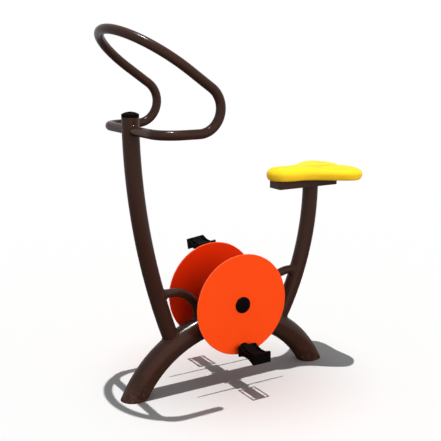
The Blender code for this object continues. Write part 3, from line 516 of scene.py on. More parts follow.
class Value:
    """A socket's output that takes part in sums as a number does."""

    def __init__(self, graph: "Graph", socket: bpy.types.NodeSocket) -> None:
        """Keeps the graph and the socket."""
        self.graph = graph
        self.socket = socket

    def _math(self, operation: str, first: Any, second: Any) -> "Value":
        """A Math node on two values."""
        return self.graph.node("ShaderNodeMath", {"operation": operation}, {0: first, 1: second})

    def __add__(self, other: Any) -> "Value":
        """The sum."""
        return self._math("ADD", self, other)

    def __radd__(self, other: Any) -> "Value":
        """The sum, with the number first."""
        return self._math("ADD", other, self)

    def __sub__(self, other: Any) -> "Value":
        """The difference."""
        return self._math("SUBTRACT", self, other)

    def __rsub__(self, other: Any) -> "Value":
        """The difference, with the number first."""
        return self._math("SUBTRACT", other, self)

    def __mul__(self, other: Any) -> "Value":
        """The product."""
        return self._math("MULTIPLY", self, other)

    def __rmul__(self, other: Any) -> "Value":
        """The product, with the number first."""
        return self._math("MULTIPLY", other, self)

    def between(self, start: float, end: float) -> "Value":
        """0 below start and 1 above end, with a smooth rise between."""
        settings = {"interpolation_type": "SMOOTHSTEP"}
        return self.graph.node("ShaderNodeMapRange", settings, {0: self, 1: start, 2: end})


class Graph:
    """The nodes of one material or world."""

    def __init__(self, tree: bpy.types.NodeTree) -> None:
        """Empties the tree."""
        self.tree = tree
        tree.nodes.clear()

    def node(
        self, kind: str, settings: dict[str, Any], inputs: dict[str | int, Any], output: str | int = 0
    ) -> Value:
        """Adds any node: its settings are set first, then the values or links of its sockets.

        Args:
            kind: The node's type.
            settings: Its properties.
            inputs: A value, colour or link for each named or numbered socket.
            output: The output to use.

        Returns:
            The chosen output.
        """
        made = self.tree.nodes.new(kind)
        for key, value in settings.items():
            setattr(made, key, value)
        for key, value in inputs.items():
            socket = made.inputs[key]
            if isinstance(value, Value):
                self.tree.links.new(value.socket, socket)
            elif socket.type == "RGBA":
                socket.default_value = (*value, 1.0)
            else:
                socket.default_value = value
        return Value(self, made.outputs[output] if made.outputs else None)

    def place(self) -> Value:
        """The point on the surface, in the object's own metres."""
        return self.node("ShaderNodeTexCoord", {}, {}, "Object")

    def ray(self, kind: str) -> Value:
        """1 for rays of a kind, such as Camera or Glossy, and 0 for the others."""
        return self.node("ShaderNodeLightPath", {}, {}, f"Is {kind} Ray")

    def part(self, vector: Value, axis: str) -> Value:
        """One coordinate of a vector."""
        return self.node("ShaderNodeSeparateXYZ", {}, {0: vector}, axis)

    def length(self, vector: Value) -> Value:
        """The length of a vector."""
        return self.node("ShaderNodeVectorMath", {"operation": "LENGTH"}, {0: vector}, "Value")

    def from_axle(self, place: Value) -> Value:
        """How far a point lies from the axle's middle line."""
        offset = self.node("ShaderNodeVectorMath", {"operation": "SUBTRACT"}, {0: place, 1: tuple(AXLE)})
        return self.length(self.stretched(offset, (1.0, 0.0, 1.0)))

    def magnitude(self, value: Value) -> Value:
        """A value without its sign."""
        return self.node("ShaderNodeMath", {"operation": "ABSOLUTE"}, {0: value})

    def noise(self, vector: Value, scale: float, detail: float, roughness: float = 0.5) -> Value:
        """Noise from 0 to 1, with so many lumps to a metre."""
        inputs = {"Vector": vector, "Scale": scale, "Detail": detail, "Roughness": roughness}
        return self.node("ShaderNodeTexNoise", {}, inputs, "Fac")

    def cells(self, vector: Value, scale: float) -> Value:
        """The distance to the nearest of scattered points, so many to a metre."""
        return self.node("ShaderNodeTexVoronoi", {}, {"Vector": vector, "Scale": scale}, "Distance")

    def stretched(self, vector: Value, scale: Triple) -> Value:
        """A vector with each coordinate times its own number."""
        return self.node("ShaderNodeMapping", {}, {"Vector": vector, "Scale": scale})

    def mix(self, factor: Any, first: Any, second: Any) -> Value:
        """One colour turning into another as the factor goes from 0 to 1."""
        inputs = {0: factor, 6: first, 7: second}
        return self.node("ShaderNodeMix", {"data_type": "RGBA", "clamp_factor": True}, inputs, 2)

    def bump(self, height: Value, depth: float) -> Value:
        """A normal bent by a height whose 1 stands for a depth in metres."""
        return self.node("ShaderNodeBump", {}, {"Height": height, "Distance": depth, "Strength": 1.0})

    def output(self, kind: str, shader: Value) -> None:
        """Ends the graph with a shader."""
        self.node(kind, {}, {"Surface": shader})


@dataclass(frozen=True)
class Finish:
    """A finish: the slot that it fills, its material's name and what feeds its shader."""

    slot: str
    name: str

    def sockets(self, graph: Graph) -> dict[str, Any]:
        """The shader's values and links, by socket."""
        raise NotImplementedError

    def material(self) -> bpy.types.Material:
        """Builds the material: one Principled shader.

        Returns:
            The material.
        """
        material = bpy.data.materials.new(self.name)
        material.use_nodes = True
        graph = Graph(material.node_tree)
        shader = graph.node("ShaderNodeBsdfPrincipled", {}, self.sockets(graph))
        graph.output("ShaderNodeOutputMaterial", shader)
        return material


@dataclass(frozen=True)
class PowderCoat(Finish):
    """Baked brown paint: a fine orange peel under a thin gloss, with a little pale dust low down."""

    slot: str = "brown_paint"
    name: str = "brown_powder_coat"
    deep: Colour = (0.0290, 0.0098, 0.0054)
    worn: Colour = (0.0400, 0.0145, 0.0088)
    dust: Colour = (0.150, 0.115, 0.095)
    dust_height: float = 0.10
    dust_share: float = 0.35
    peel: float = 520.0
    peel_depth: float = 0.00001

    def sockets(self, graph: Graph) -> dict[str, Any]:
        """Cloudy and speckled paint, mixed with dust near the ground.

        Args:
            graph: The material's nodes.

        Returns:
            The shader's values and links, by socket.
        """
        place = graph.place()
        cloud = graph.noise(place, 7.0, detail=4.0, roughness=0.6)
        speck = graph.noise(place, 900.0, detail=1.0)
        patches = graph.noise(place, 60.0, detail=4.0, roughness=0.7).between(0.45, 0.8)
        low = 1 - graph.part(place, "Z").between(0.0, self.dust_height)
        dusty = low * patches * self.dust_share
        paint = graph.mix(cloud * 0.8 + speck * 0.35, self.deep, self.worn)
        height = graph.noise(place, self.peel, detail=1.0) + cloud * 0.2
        return {
            "Base Color": graph.mix(dusty, paint, self.dust),
            "Roughness": 0.34 + cloud * 0.14 + dusty * 0.5,
            "Specular IOR Level": 0.03,
            "Coat Weight": 0.32 - cloud * 0.10 - dusty * 0.4,
            "Coat Roughness": 0.15,
            "Normal": graph.bump(height, self.peel_depth),
        }


@dataclass(frozen=True)
class Enamel(Finish):
    """Bright orange enamel: a soft orange peel, with painted shade on the inner faces and a painted highlight at
    the rim.
    """

    slot: str = "orange_paint"
    name: str = "orange_enamel"
    deep: Colour = (0.97, 0.064, 0.0055)
    bright: Colour = (1.0, 0.076, 0.0075)
    # painted shade: the inner faces, which face the other disc, are darker and redder
    sheltered: Colour = (0.72, 0.024, 0.0013)
    plate: Span = (0.1123, 0.1163)  # across the disc's thickness
    # painted highlight: the paler colour along the rim's rounded edge
    rim: Colour = (0.88, 0.125, 0.040)
    rim_reach: Span = (0.1960, 0.1990)  # from the axle
    rim_share: float = 0.7
    peel: float = 260.0
    peel_depth: float = 0.00005

    def sockets(self, graph: Graph) -> dict[str, Any]:
        """Enamel with painted shade on the inner face, and a painted highlight by the distance from the axle.

        Args:
            graph: The material's nodes.

        Returns:
            The shader's values and links, by socket.
        """
        place = graph.place()
        cloud = graph.noise(place, 9.0, detail=3.0, roughness=0.55)
        swirl = graph.noise(graph.stretched(place, (1.0, 6.0, 1.0)), 180.0, detail=3.0, roughness=0.7)
        # painted shade: 0 on the inner face, which takes the darker colour, and 1 on the outer face
        outward = graph.magnitude(graph.part(place, "Y")).between(*self.plate)
        faces = graph.mix(outward, self.sheltered, graph.mix(cloud, self.deep, self.bright))
        # painted highlight: paler orange near the rim
        edge = graph.from_axle(place).between(*self.rim_reach) * self.rim_share
        return {
            "Base Color": graph.mix(edge, faces, self.rim),
            "Roughness": 0.36 + swirl * 0.10,
            "Specular IOR Level": 0.04,
            "Coat Weight": 0.04 + cloud * 0.03,
            "Coat Roughness": 0.20,
            "Normal": graph.bump(graph.noise(place, self.peel, detail=1.0), self.peel_depth),
        }


@dataclass(frozen=True)
class SaddlePlastic(Finish):
    """Yellow moulded plastic: a fine pebble grain, with painted light on faces that look up, and painted shade
    below and in the crease.
    """

    slot: str = "yellow_plastic"
    name: str = "yellow_saddle_plastic"
    # painted light and shade: the top colour is for faces that look up, the side colour for faces that look
    # sideways or down
    top: Colour = (0.85, 0.60, 0.019)
    side: Colour = (0.95, 0.55, 0.022)
    upward: Span = (-0.25, 0.85)  # how far up a face looks where it starts to pale, and is palest
    # painted shade: a darker colour along the crease in the saddle's middle
    crease: Colour = (0.44, 0.31, 0.010)
    crease_width: Span = (0.005, 0.015)  # from the middle line
    crease_start: Span = (0.33, 0.40)
    crease_share: float = 0.7
    grain: float = 950.0
    grain_depth: float = 0.00005

    def sockets(self, graph: Graph) -> dict[str, Any]:
        """Plastic with painted light by the way a face looks, and painted shade in the crease.

        Args:
            graph: The material's nodes.

        Returns:
            The shader's values and links, by socket.
        """
        place = graph.place()
        facing = graph.node("ShaderNodeNewGeometry", {}, {}, "Normal")
        cloud = graph.noise(place, 14.0, detail=3.0)
        # painted light on faces that look up, painted shade on the others
        pale = (graph.part(facing, "Z") + cloud * 0.16).between(*self.upward)
        sides = graph.magnitude(graph.part(place, "Y"))
        # painted shade in the crease
        painted_crease_shade = (1 - sides.between(*self.crease_width)) * self.crease_share
        painted_crease_shade = painted_crease_shade * graph.part(place, "X").between(*self.crease_start)
        return {
            "Base Color": graph.mix(painted_crease_shade, graph.mix(pale, self.side, self.top), self.crease),
            "Roughness": 0.42 + cloud * 0.12,
            "Specular IOR Level": 0.03,
            "Normal": graph.bump(graph.cells(place, self.grain), self.grain_depth),
        }


@dataclass(frozen=True)
class BlackPlastic(Finish):
    """Black moulded plastic with a spark-eroded grain, scuffed a little paler in places."""

    slot: str = "black_plastic"
    name: str = "black_grained_plastic"
    deep: Colour = (0.0036, 0.0026, 0.0027)
    scuffed: Colour = (0.0070, 0.0058, 0.0057)
    scuffs: Span = (0.52, 0.78)  # the noise where a scuff starts, and is full
    grain: float = 1400.0
    grain_depth: float = 0.00006

    def sockets(self, graph: Graph) -> dict[str, Any]:
        """Plastic whose scuffs are paler and duller.

        Args:
            graph: The material's nodes.

        Returns:
            The shader's values and links, by socket.
        """
        place = graph.place()
        rubbed = graph.noise(graph.stretched(place, (1.0, 3.0, 1.0)), 85.0, detail=5.0, roughness=0.75)
        scuff = rubbed.between(*self.scuffs)
        return {
            "Base Color": graph.mix(scuff * 0.6, self.deep, self.scuffed),
            "Roughness": 0.55 + scuff * 0.18,
            "Specular IOR Level": 0.01,
            "Normal": graph.bump(graph.noise(place, self.grain, detail=2.0), self.grain_depth),
        }


@dataclass(frozen=True)
class BareMetal(Finish):
    """Turned or plated metal, with fine tool lines round the cross axis and faint blotches."""

    dull: Colour
    clean: Colour
    lines: float = 2600.0
    line_depth: float = 0.00002

    def sockets(self, graph: Graph) -> dict[str, Any]:
        """Metal with blotches in its colour and tool lines in its normal.

        Args:
            graph: The material's nodes.

        Returns:
            The shader's values and links, by socket.
        """
        place = graph.place()
        blotch = graph.noise(place, 120.0, detail=4.0, roughness=0.65)
        tooling = graph.noise(graph.stretched(place, (0.02, 1.0, 0.02)), self.lines, detail=1.0)
        return {
            "Base Color": graph.mix(blotch, self.dull, self.clean),
            "Metallic": 1.0,
            "Roughness": 0.26 + blotch * 0.16 + tooling * 0.06,
            "Normal": graph.bump(tooling, self.line_depth),
        }


class Finishes:
    """All the finishes, built once and found by slot."""

    def __init__(self) -> None:
        """Builds each material."""
        kinds = (
            PowderCoat(),
            Enamel(),
            SaddlePlastic(),
            BlackPlastic(),
            BareMetal("steel", "bare_steel", (0.42, 0.43, 0.45), (0.62, 0.63, 0.64)),
            BareMetal("brass", "bare_brass", (0.50, 0.33, 0.12), (0.72, 0.50, 0.22)),
        )
        self.materials = {kind.slot: kind.material() for kind in kinds}

    def dress(self, piece: bpy.types.Object, slot: str, body: Body, *nodes: str) -> None:
        """Finishes a new piece, sets it on its body and puts it in place of its nodes.

        Args:
            piece: The new piece.
            slot: The slot of its finish.
            body: The body that it rides on.
            nodes: The nodes that it stands for.
        """
        piece.data.materials.append(self.materials[slot])
        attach(piece, body.value)
        if nodes:
            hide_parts(*nodes)
        log.info("%s: %d faces, %s, on %s", piece.name, len(piece.data.polygons), slot, body.value)

    def lay(self, name: str, grid: Array, slot: str, body: Body, *nodes: str, wrap: bool = True) -> None:
        """Makes a surface of a grid and dresses it."""
        self.dress(surface(name, grid, wrap), slot, body, *nodes)

    def dress_carried(self) -> None:
        """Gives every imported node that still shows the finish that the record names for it."""
        slots = {row["node"]: row["material_slot"] for row in frame["record"]["subparts"]}
        for name, node in frame["nodes"].items():
            if not node.hide_render:
                node.data.materials.clear()
                node.data.materials.append(self.materials[slots[name]])
                log.info("%s: carried over, %s", name, slots[name])


@dataclass
class WeldedFrame:
    """The arch, the two bowed posts and the two braces, each coped to what it stands on and welded."""

    finishes: Finishes
    arch_radius: float = 0.0475
    arch_wall: float = 0.004
    arch_bend: float = 0.466
    arch_centre_below: float = 0.217
    arch_overrun: float = 1.5  # how far its line runs on below the ground, in radii
    arch_parts: int = 9  # the ground is looked for over one such part at each end
    arch_cells: Cells = (220, 112)
    post_radius: float = 0.03175
    post_wall: float = 0.003
    post_cells: Cells = (140, 96)
    post_cut_span: float = 0.1125  # along a post, longer than its cope
    front_post_x: float = -0.402
    front_post_foot_x: float = -0.240
    front_post_straight: float = 0.007
    seat_post_x: float = 0.401
    seat_post_foot_x: float = 0.2365
    seat_post_straight: float = 0.0214
    brace_radius: float = 0.0172
    brace_wall: float = 0.0025
    brace_cells: Cells = (90, 64)
    front_brace: Triple = (-0.133, 0.1652, 0.687)  # the foot's x, the rise and the bend's share
    rear_brace: Triple = (0.161, 0.1897, 0.7655)
    cut_span: float = 0.075  # along a brace or the handlebar, longer than its cope
    bend_points: int = 700
    weld: Bead = Bead()

    def __post_init__(self) -> None:
        """Works out the tubes from the sizes."""
        self.origin = AXLE * X
        self.arch = Tube(self.arch_line(), self.arch_radius, self.arch_wall)
        tops = {name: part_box(name)[1].z for name in ("front_post", "seat_post")}
        front = (self.front_post_x, tops["front_post"], self.front_post_straight, self.front_post_foot_x)
        seat = (self.seat_post_x, tops["seat_post"], self.seat_post_straight, self.seat_post_foot_x)
        self.front_post = Tube(self.post_line(*front), self.post_radius, self.post_wall)
        self.seat_post = Tube(self.post_line(*seat), self.post_radius, self.post_wall)

    def arch_point(self, x: float) -> Array:
        """The point of the arch's middle line over an x: on its circle, above the circle's centre."""
        return self.origin + x * X + (math.sqrt(self.arch_bend**2 - x**2) - self.arch_centre_below) * Z

    def arch_line(self) -> Line:
        """The arch's middle line: a circle's arc, run on below the ground.

        Returns:
            The line, from front to rear.
        """
        low = math.asin(self.arch_centre_below / self.arch_bend)
        low -= self.arch_overrun * self.arch_radius / self.arch_bend
        centre = self.origin - self.arch_centre_below * Z
        points = arc(centre, -self.arch_bend * X, self.arch_bend * Z, low, math.pi - low, self.bend_points)
        return Line.through([points], Y)

    def post_line(self, top_x: float, top: float, upright: float, foot_x: float) -> Line:
        """A post's middle line: an arc that stands upright at its top and ends at the foot.

        The bend's radius is the sum of the squares of run and rise, over twice the run.

        Args:
            top_x: The x of its top, from the axle.
            top: The height of its top.
            upright: The straight length above the bend.
            foot_x: The x of its foot on the arch's middle line, from the axle.

        Returns:
            The line, from the foot up.
        """
        foot = self.arch_point(foot_x)
        run, rise = foot_x - top_x, top - upright - foot[2]
        radius = (run**2 + rise**2) / (2 * run)
        centre = self.origin + (top_x + radius) * X + (top - upright) * Z
        lean = math.asin(rise / abs(radius))
        bend = arc(centre, -radius * X, -abs(radius) * Z, lean, 0.0, self.bend_points)
        return Line.through([bend, straight(bend[-1], bend[-1] + upright * Z, 12)], Y)

    def brace_line(self, post: Tube, foot_x: float, rise: float, share: float) -> Line:
        """A brace's middle line: level out of the post, a quarter bend, and down to the arch.

        Args:
            post: The post that it leaves.
            foot_x: The x of its foot, from the axle.
            rise: Its height above the arch's middle line.
            share: The bend's radius as a share of the lesser leg.

        Returns:
            The line, from the post to the arch.
        """
        foot = self.arch_point(foot_x)
        top = foot[2] + rise
        at_post = post.line.points[np.argmin(np.abs(post.line.points[:, 2] - top))] * (1, 1, 0) + top * Z
        run = foot[0] - at_post[0]
        radius = share * min(abs(run), rise)
        inward = math.copysign(radius, run)
        centre = (foot[0] - inward) * X + (top - radius) * Z
        quarter = arc(centre, radius * Z, inward * X, 0.0, math.pi / 2, count=160)
        return Line.through([straight(at_post, quarter[0]), quarter, straight(quarter[-1], foot)], Y)

    def build(self) -> None:
        """Builds the tubes and their welds."""
        length = self.arch.line.length
        ground = length / self.arch_parts
        ends = (End(self.above_ground, 0.0, ground), End(self.above_ground, length, length - ground))
        self.add("base_arch", self.arch, ends, self.arch_cells)
        for name, post in (("front_post", self.front_post), ("seat_post", self.seat_post)):
            foot = End(self.arch.clearance, 0.0, self.post_cut_span)
            self.add(name, post, (foot, End.square(post.line.length)), self.post_cells)
            self.add_weld(f"{name}_foot", post, self.arch, foot)
        self.add_top_weld()
        for name, post, sizes in (
            ("front_brace", self.front_post, self.front_brace),
            ("rear_brace", self.seat_post, self.rear_brace),
        ):
            tube = Tube(self.brace_line(post, *sizes), self.brace_radius, self.brace_wall)
            top = End(post.clearance, 0.0, self.cut_span)
            foot = End(self.arch.clearance, tube.line.length, tube.line.length - self.cut_span)
            self.add(name, tube, (top, foot), self.brace_cells)
            self.add_weld(f"{name}_top", tube, post, top)
            self.add_weld(f"{name}_foot", tube, self.arch, foot)

    def above_ground(self, points: Array) -> Array:
        """How far each point lies above the sunk face of the ground."""
        return points[..., 2] - SINK

    def add(self, node: str, tube: Tube, ends: tuple[End, End], cells: Cells) -> None:
        """Builds one tube in place of its node."""
        grid = tube_grid(tube, ends, cells)
        self.finishes.lay(f"{node}_tube", grid, "brown_paint", Body.FRAME, node)

    def add_weld(self, name: str, tube: Tube, host: Tube, end: End) -> None:
        """Builds the bead round one coped end."""
        grid = self.weld.tube_seam(tube, host, end)
        self.finishes.lay(f"{name}_weld", grid, "brown_paint", Body.FRAME)

    def add_top_weld(self, places: int = 360) -> None:
        """Builds the bead between the seat post's top and the underside of the tray.

        Args:
            places: How many points round the seam.
        """
        line = self.seat_post.line
        seam = line.skin(np.full(places, line.length), round_turns(places), self.post_radius)
        out = unit(seam - seam.mean(axis=0))
        grid = self.weld.grid(seam, np.broadcast_to(-Z, seam.shape), out)
        self.finishes.lay("seat_post_top_weld", grid, "brown_paint", Body.FRAME)


@dataclass
class Handlebar:
    """The looped bar: out of the post's side, round a corner, up a C bend and over in a long loop."""

    finishes: Finishes
    welded: WeldedFrame
    radius: float = 0.0172
    wall: float = 0.0025
    cells: Cells = (520, 64)
    below_post_top: float = 0.046
    half_width: float = 0.246
    corner: float = 0.077
    arm: float = 0.0655
    bend: float = 0.0845
    slope: float = math.radians(35.5)
    slope_length: float = 0.1014
    loop_reach: float = 0.237
    weld: Bead = Bead(leg=0.0030, pitch=0.0028)

    def half(self, side: Side) -> list[Array]:
        """The runs of one half, from the post's middle to the loop's front.

        The corner and the C bend are circles' arcs. The loop is a quarter of an ellipse in the sloping
        plane, as wide as the bar and as long as the loop's reach.

        Args:
            side: Which half.

        Returns:
            The points of each run, in order.
        """
        out = side.value * Y
        quarter = math.pi / 2
        post_x = AXLE[0] + self.welded.front_post_x
        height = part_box("front_post")[1].z - self.below_post_top
        start = post_x * X + height * Z
        corner_centre = start + self.corner * X + (self.half_width - self.corner) * out
        corner = arc(corner_centre, -self.corner * X, self.corner * out, 0.0, quarter, count=90)
        arm_end = corner[-1] + self.arm * X
        bend_centre = arm_end + self.bend * Z
        bend = arc(bend_centre, -self.bend * Z, self.bend * X, 0.0, math.pi - self.slope, count=160)
        rising = math.sin(self.slope) * Z - math.cos(self.slope) * X
        loop_start = bend[-1] + self.slope_length * rising
        width, reach = self.half_width * out, self.loop_reach * rising
        loop = arc(loop_start - width, width, reach, 0.0, quarter, count=260)
        arm, slope = straight(corner[-1], arm_end), straight(bend[-1], loop_start)
        return [straight(start, corner[0]), corner, arm, bend, slope, loop]

    def build(self) -> None:
        """Builds the bar and its two welds."""
        runs = self.half(Side.LEFT) + [run[::-1] for run in reversed(self.half(Side.RIGHT))]
        tube = Tube(Line.through(runs, Z), self.radius, self.wall)
        post, length, span = self.welded.front_post, tube.line.length, self.welded.cut_span
        ends = (End(post.clearance, 0.0, span), End(post.clearance, length, length - span))
        grid = tube_grid(tube, ends, self.cells)
        self.finishes.lay("handlebar_tube", grid, "brown_paint", Body.FRAME, "handlebar")
        for side, end in zip(Side, ends):
            grid = self.weld.tube_seam(tube, post, end, places=240)
            self.finishes.lay(f"{side.label}_handlebar_weld", grid, "brown_paint", Body.FRAME)


@dataclass
class PostCap:
    """The black cap on the front post: a short straight rim and a low dome."""

    finishes: Finishes
    welded: WeldedFrame
    gap: float = 0.0003  # above the post's end
    rim: float = 0.011
    rim_round: float = 0.0006
    rim_flat: float = 0.003  # where the rim's flat starts
    dome: float = 0.009
    dome_rows: int = 14
    edge: float = 0.0018
    edge_lean: float = 0.0003

    def build(self) -> None:
        """Builds the cap: its outline is the rim, a rounded shoulder and the dome, spun about the post."""
        radius = self.welded.post_radius
        crown_radius = (radius**2 + self.dome**2) / (2 * self.dome)
        spread = math.asin(radius / crown_radius)
        rows = arc(np.zeros(3), X, Z, spread, 0.0, self.dome_rows)[:, [2, 0]] * crown_radius
        dome = rows + (0.0, self.rim + self.dome - crown_radius)
        outline = np.vstack([
            (0.0, self.gap),
            (radius - self.rim_round, self.gap),
            (radius, self.gap + self.rim_round),
            (radius, self.rim_flat),
            (radius, self.rim - self.edge),
            (radius - self.edge_lean, self.rim - self.edge / 3),
            dome[1:],
        ])
        centre = np.array((AXLE[0] + self.welded.front_post_x, 0.0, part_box("front_post")[1].z))
        name, node = "front_post_end_cap", "front_post_cap"
        self.finishes.lay(name, turned(outline, centre, Z), "black_plastic", Body.FRAME, node, wrap=False)


@dataclass
class Hub:
    """The hub shell across the arch and the saddle block that it is welded on."""

    finishes: Finishes
    welded: WeldedFrame
    radius: float = 0.040
    half_length: float = 0.058
    seat_radius: float = 0.0313
    shoulder_radius: float = 0.027
    shoulder_at: float = 0.0367
    edge: float = 0.0012
    half_width: float = 0.030
    foot_half: float = 0.059
    top_half: float = 0.033
    top_below_axle: float = 0.014
    foot_below_crown: float = 0.034
    corner: float = 0.005
    run_in: float = 0.004  # how far the block runs on inside the arch and the shell
    foot_search: Span = (-1.0, 0.75)  # shares of the block's side: inside the arch, and clear of it
    top_search: Span = (1.6, 0.1)  # the same for the shell
    core: float = 0.028  # half the middle of the block, from whose edges a seam's outward way is taken
    core_share: float = 0.05  # of the way out from the very middle that is added to it
    block_places: int = 320
    wall_rows: int = 12
    weld: Bead = Bead()

    def build(self) -> None:
        """Builds the shell, the saddle block and the two welds."""
        half = [
            (self.shoulder_radius, self.shoulder_at, 0.0),
            (self.seat_radius, self.shoulder_at, 0.0),
            (self.seat_radius, self.half_length, self.edge / 2),
            (self.radius, self.half_length, self.edge),
        ]
        corners = half + [(radius, -along, edge) for radius, along, edge in reversed(half)]
        grid = turned(rounded(corners, True), AXLE, Y, places=128)
        self.finishes.lay("hub_shell_tube", grid, "brown_paint", Body.FRAME, "hub_shell")
        foot, top, side = self.block_seams()
        wall = foot + (top - foot) * np.linspace(0.0, 1.0, self.wall_rows)[:, None, None]
        sunk_foot, sunk_top = foot - side * self.run_in, top + side * self.run_in
        ends = [np.broadcast_to(ring.mean(axis=0), ring.shape)[None] for ring in (sunk_foot, sunk_top)]
        grid = np.concatenate([ends[0], sunk_foot[None], wall, sunk_top[None], ends[1]])
        self.finishes.lay("hub_saddle_block", grid, "brown_paint", Body.FRAME, "hub_saddle", wrap=False)
        for name, seam, up, facing in (
            ("foot", foot, side, self.welded.arch.facing),
            ("top", top, -side, self.shell_facing),
        ):
            away, ground = self.flat_out(seam), facing(seam)
            out = unit(away - (away * ground).sum(axis=-1, keepdims=True) * ground)
            grid = self.weld.grid(seam, up, out)
            self.finishes.lay(f"hub_saddle_{name}_weld", grid, "brown_paint", Body.FRAME)

    def block_seams(self) -> tuple[Array, Array, Array]:
        """Where the saddle block meets the arch and the shell.

        A line up the side runs from the foot's outline to the top's. It starts where it leaves the arch,
        and it ends where it enters the shell, both found by halving.

        Returns:
            The closed seam on the arch, the one on the shell, and the directions up the block's side.
        """
        crown = self.welded.arch_point(0.0)[2] + self.welded.arch_radius
        levels = (crown - self.foot_below_crown, AXLE[2] - self.top_below_axle)
        outlines = []
        for half, level in zip((self.foot_half, self.top_half), levels):
            plan = rounded_rectangle(np.array((half, self.half_width)), self.corner, self.block_places)
            outlines.append(np.column_stack([plan, np.full(len(plan), level)]) + AXLE * (1, 1, 0))
        low, high = outlines
        seams = []
        for clearance, search in (
            (self.welded.arch.clearance, self.foot_search),
            (self.shell_clearance, self.top_search),
        ):
            spans = (np.full((self.block_places, 1), share) for share in search)
            shares = halve(lambda shares: clearance(low + (high - low) * shares)[:, None], *spans)
            seams.append(low + (high - low) * shares)
        return seams[0], seams[1], unit(high - low)

    def shell_clearance(self, points: Array) -> Array:
        """How far each point lies outside the shell."""
        return np.linalg.norm((points - AXLE) * (1, 0, 1), axis=-1) - self.radius

    def shell_facing(self, points: Array) -> Array:
        """The direction that the shell faces at each point."""
        return unit((points - AXLE) * (1, 0, 1))

    def flat_out(self, seam: Array) -> Array:
        """The direction away from the block in plan.

        It is the way from the nearest edge of the block's core, plus a small share of the way from the
        axle's middle.

        Args:
            seam: The points of a seam.

        Returns:
            A direction for each point.
        """
        away = (seam - AXLE) * (1, 1, 0)
        beyond = away - np.clip(away, -self.core, self.core)
        return unit(beyond + away * self.core_share)


